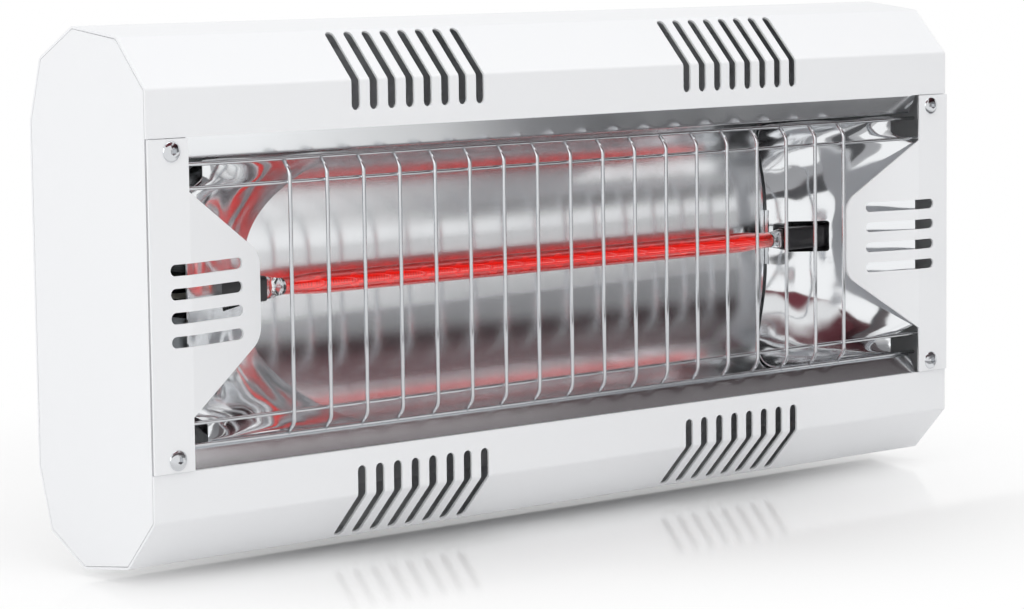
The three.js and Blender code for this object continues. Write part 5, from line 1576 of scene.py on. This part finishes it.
class HEATER_OT_stage(bpy.types.Operator):
    """Sets the camera, the pale floor, the soft studio light, and the painted reflections and highlight that
    only metal and glass see
    """
    bl_idname = "heater.stage"
    bl_label = "Stage"

    def execute(self, context):
        self.camera(context.scene)
        self.floor()
        self.room(context.scene)
        for name, place, width, power in LAMPS:
            self.softbox(name, Vector(place), width, power)
        for name, low, high, tones, levels in PAINTED_REFLECTIONS:
            self.card(name, Vector(low), Vector(high), tones, levels)
        self.reflected("painted_highlight_strip", self.lying(Vector(STRIP_LOW), Vector(STRIP_HIGH)), lambda tree: WHITE,
                       STRIP_HIGHLIGHT)
        context.scene.view_settings.view_transform = "Standard"
        return {"FINISHED"}

    def camera(self, scene):
        data = bpy.data.cameras.new("camera")
        data.lens = CAMERA_LENS
        data.clip_end = CAMERA_SEES
        camera = bpy.data.objects.new("camera", data)
        scene.collection.objects.link(camera)
        level = math.cos(CAMERA_PITCH)
        ahead = Vector((math.sin(CAMERA_YAW) * level, math.cos(CAMERA_YAW) * level, math.sin(CAMERA_PITCH)))
        right = Vector((math.cos(CAMERA_YAW), -math.sin(CAMERA_YAW), 0))
        up = right.cross(ahead)
        turn = Matrix.Rotation(CAMERA_ROLL, 3, -ahead)
        axes = Matrix((turn @ right, turn @ up, -ahead)).transposed()
        camera.matrix_world = Matrix.Translation(CAMERA_PLACE) @ axes.to_4x4()
        scene.camera = camera

    def board(self, name, corners, material):
        """A flat four-cornered piece of the stage."""
        board = mesh_of(name, Form().add(corners, [[0, 1, 2, 3]]))
        board.data.materials.append(material)
        return board

    def floor(self):
        """A glossy pale board that fades into the white background away from the heater."""
        made = Surface("glossy_white_board", linear_of(FLOOR_TONE), Roughness=0.1, IOR=1.3)
        distance = add_node(made.tree, "ShaderNodeVectorMath", {0: made.place}, operation="LENGTH")
        away = add_node(made.tree, "ShaderNodeMapRange", {
            "Value": distance.outputs["Value"], "From Min": FADE_START, "From Max": FADE_END},
            interpolation_type="SMOOTHSTEP")
        faded = add_node(made.tree, "ShaderNodeMath", {
            0: away.outputs["Result"], 1: self.seen_directly(made.tree)}, operation="MULTIPLY")
        glow = add_node(made.tree, "ShaderNodeEmission", {"Color": WHITE})
        both = add_node(made.tree, "ShaderNodeMixShader", {
            0: faded.outputs[0], 1: made.shader.outputs["BSDF"], 2: glow.outputs["Emission"]})
        made.tree.links.new(both.outputs["Shader"], made.output.inputs["Surface"])
        corners = [(x * FLOOR_HALF, y * FLOOR_HALF, FLOOR_Z) for x, y in ((-1, -1), (1, -1), (1, 1), (-1, 1))]
        self.board("floor", corners, made.material)

    def seen_directly(self, tree):
        """1 for camera, glossy and transmission rays and 0 for the rest."""
        rays = add_node(tree, "ShaderNodeLightPath", {}).outputs
        seen = rays["Is Camera Ray"]
        for ray in ("Is Glossy Ray", "Is Transmission Ray"):
            seen = add_node(tree, "ShaderNodeMath", {0: seen, 1: rays[ray]}, operation="ADD",
                            use_clamp=True).outputs[0]
        return seen

    def room(self, scene):
        """An even white room, a little dimmer as a light than as a background."""
        world = bpy.data.worlds.new("studio")
        scene.world = world
        world.use_nodes = True
        tree = world.node_tree
        tree.nodes.clear()
        strength = add_node(tree, "ShaderNodeMapRange", {
            "Value": self.seen_directly(tree), "To Min": ROOM_LIGHT, "To Max": 1.0})
        sky = add_node(tree, "ShaderNodeBackground", {
            "Color": WHITE, "Strength": strength.outputs["Result"]})
        add_node(tree, "ShaderNodeOutputWorld", {"Surface": sky.outputs["Background"]})

    def softbox(self, name, place, width, power):
        data = bpy.data.lights.new(name, "AREA")
        data.shape, data.size, data.energy = "DISK", width, power
        lamp = bpy.data.objects.new(name, data)
        bpy.context.scene.collection.objects.link(lamp)
        lamp.location = place
        lamp.rotation_mode = "QUATERNION"
        lamp.rotation_quaternion = (place - Vector((0, FRONT, 0))).to_track_quat("Z", "Y")

    def lying(self, low, high):
        """The corners of a board that lies along X."""
        return [low, Vector((high.x, low.y, low.z)), high, Vector((low.x, high.y, high.z))]

    def standing(self, low, high):
        return [low, Vector((high.x, high.y, low.z)), high, Vector((low.x, low.y, high.z))]

    def reflected(self, name, corners, colour_in, strength=1.0):
        """A board that only metal and glass see, lighting nothing and casting no shadow: painted reflection.
        colour_in gives its colour in a tree.
        """
        material, tree = blank_material(name)
        light = add_node(tree, "ShaderNodeEmission", {"Color": colour_in(tree), "Strength": strength})
        add_node(tree, "ShaderNodeOutputMaterial", {"Surface": light.outputs["Emission"]})
        board = self.board(name, corners, material)
        board.visible_camera = board.visible_diffuse = board.visible_shadow = False

    def card(self, name, low, high, tones, levels):
        """A board between two corners that only metal and glass see: a painted reflection.

        tones are its colours from end to end, and levels darken it from its lower or front edge on.
        """
        flat = high.z == low.z

        def toned(tree):
            spot = add_node(tree, "ShaderNodeSeparateXYZ", {
                "Vector": add_node(tree, "ShaderNodeTexCoord", {}).outputs["Generated"]}).outputs
            mix = add_node(tree, "ShaderNodeMix", {
                "Factor": 1.0, "A": self.ramp(tree, spot["X"], tones),
                "B": self.ramp(tree, spot["Y" if flat else "Z"], levels)},
                data_type="RGBA", blend_type="MULTIPLY")
            return mix.outputs["Result"]

        self.reflected(name, (self.lying if flat else self.standing)(low, high), toned)

    def ramp(self, tree, factor, stops):
        """A colour ramp through (place, sRGB hex) stops."""
        node = add_node(tree, "ShaderNodeValToRGB", {"Fac": factor})
        elements = node.color_ramp.elements
        for i, (place, tone) in enumerate(stops):
            element = elements[i] if i < 2 else elements.new(place)
            element.position, element.color = place, rgba(linear_of(tone))
        return node.outputs["Color"]


# ---- Panel and registration ------------------------------------------------------------------
OPERATORS = (
    HEATER_OT_housing,
    HEATER_OT_ends,
    HEATER_OT_reflector,
    HEATER_OT_guard,
    HEATER_OT_lamp,
    HEATER_OT_wiring,
    HEATER_OT_gland,
    HEATER_OT_screws,
    HEATER_OT_bracket,
    HEATER_OT_stage,
)
GROUPS = {
    "heater_housing": HeaterHousingSizes,
    "heater_reflector": HeaterReflectorSizes,
    "heater_guard": HeaterGuardSizes,
    "heater_lamp": HeaterLampSizes,
    "heater_screws": HeaterScrewSizes,
    "heater_gland": HeaterGlandSizes,
    "heater_bracket": HeaterBracketSizes,
    "heater_colours": HeaterColours,
}


class HEATER_PT_sidebar(bpy.types.Panel):
    """Lists the heater's pieces, sizes and colours"""
    bl_idname = "HEATER_PT_sidebar"
    bl_label = "Electric bar heater"
    bl_space_type = "VIEW_3D"
    bl_region_type = "UI"
    bl_category = "Heater"

    def draw(self, context):
        for operator in OPERATORS:
            self.layout.operator(operator.bl_idname)
        for name, group in GROUPS.items():
            box = self.layout.box()
            for key in group.__annotations__:
                box.prop(getattr(context.scene, name), key)


def register():
    for group in GROUPS.values():
        bpy.utils.register_class(group)
    for name, group in GROUPS.items():
        setattr(bpy.types.Scene, name, PointerProperty(type=group))
    for operator in OPERATORS:
        bpy.utils.register_class(operator)
    bpy.utils.register_class(HEATER_PT_sidebar)


def unregister():
    bpy.utils.unregister_class(HEATER_PT_sidebar)
    for operator in reversed(OPERATORS):
        bpy.utils.unregister_class(operator)
    for name in GROUPS:
        delattr(bpy.types.Scene, name)
    for group in reversed(GROUPS.values()):
        bpy.utils.unregister_class(group)


def main():
    register()
    for operator in OPERATORS:
        name = operator.bl_idname.split(".")[1]
        getattr(bpy.ops.heater, name)()


if __name__ == "__main__":
    main()
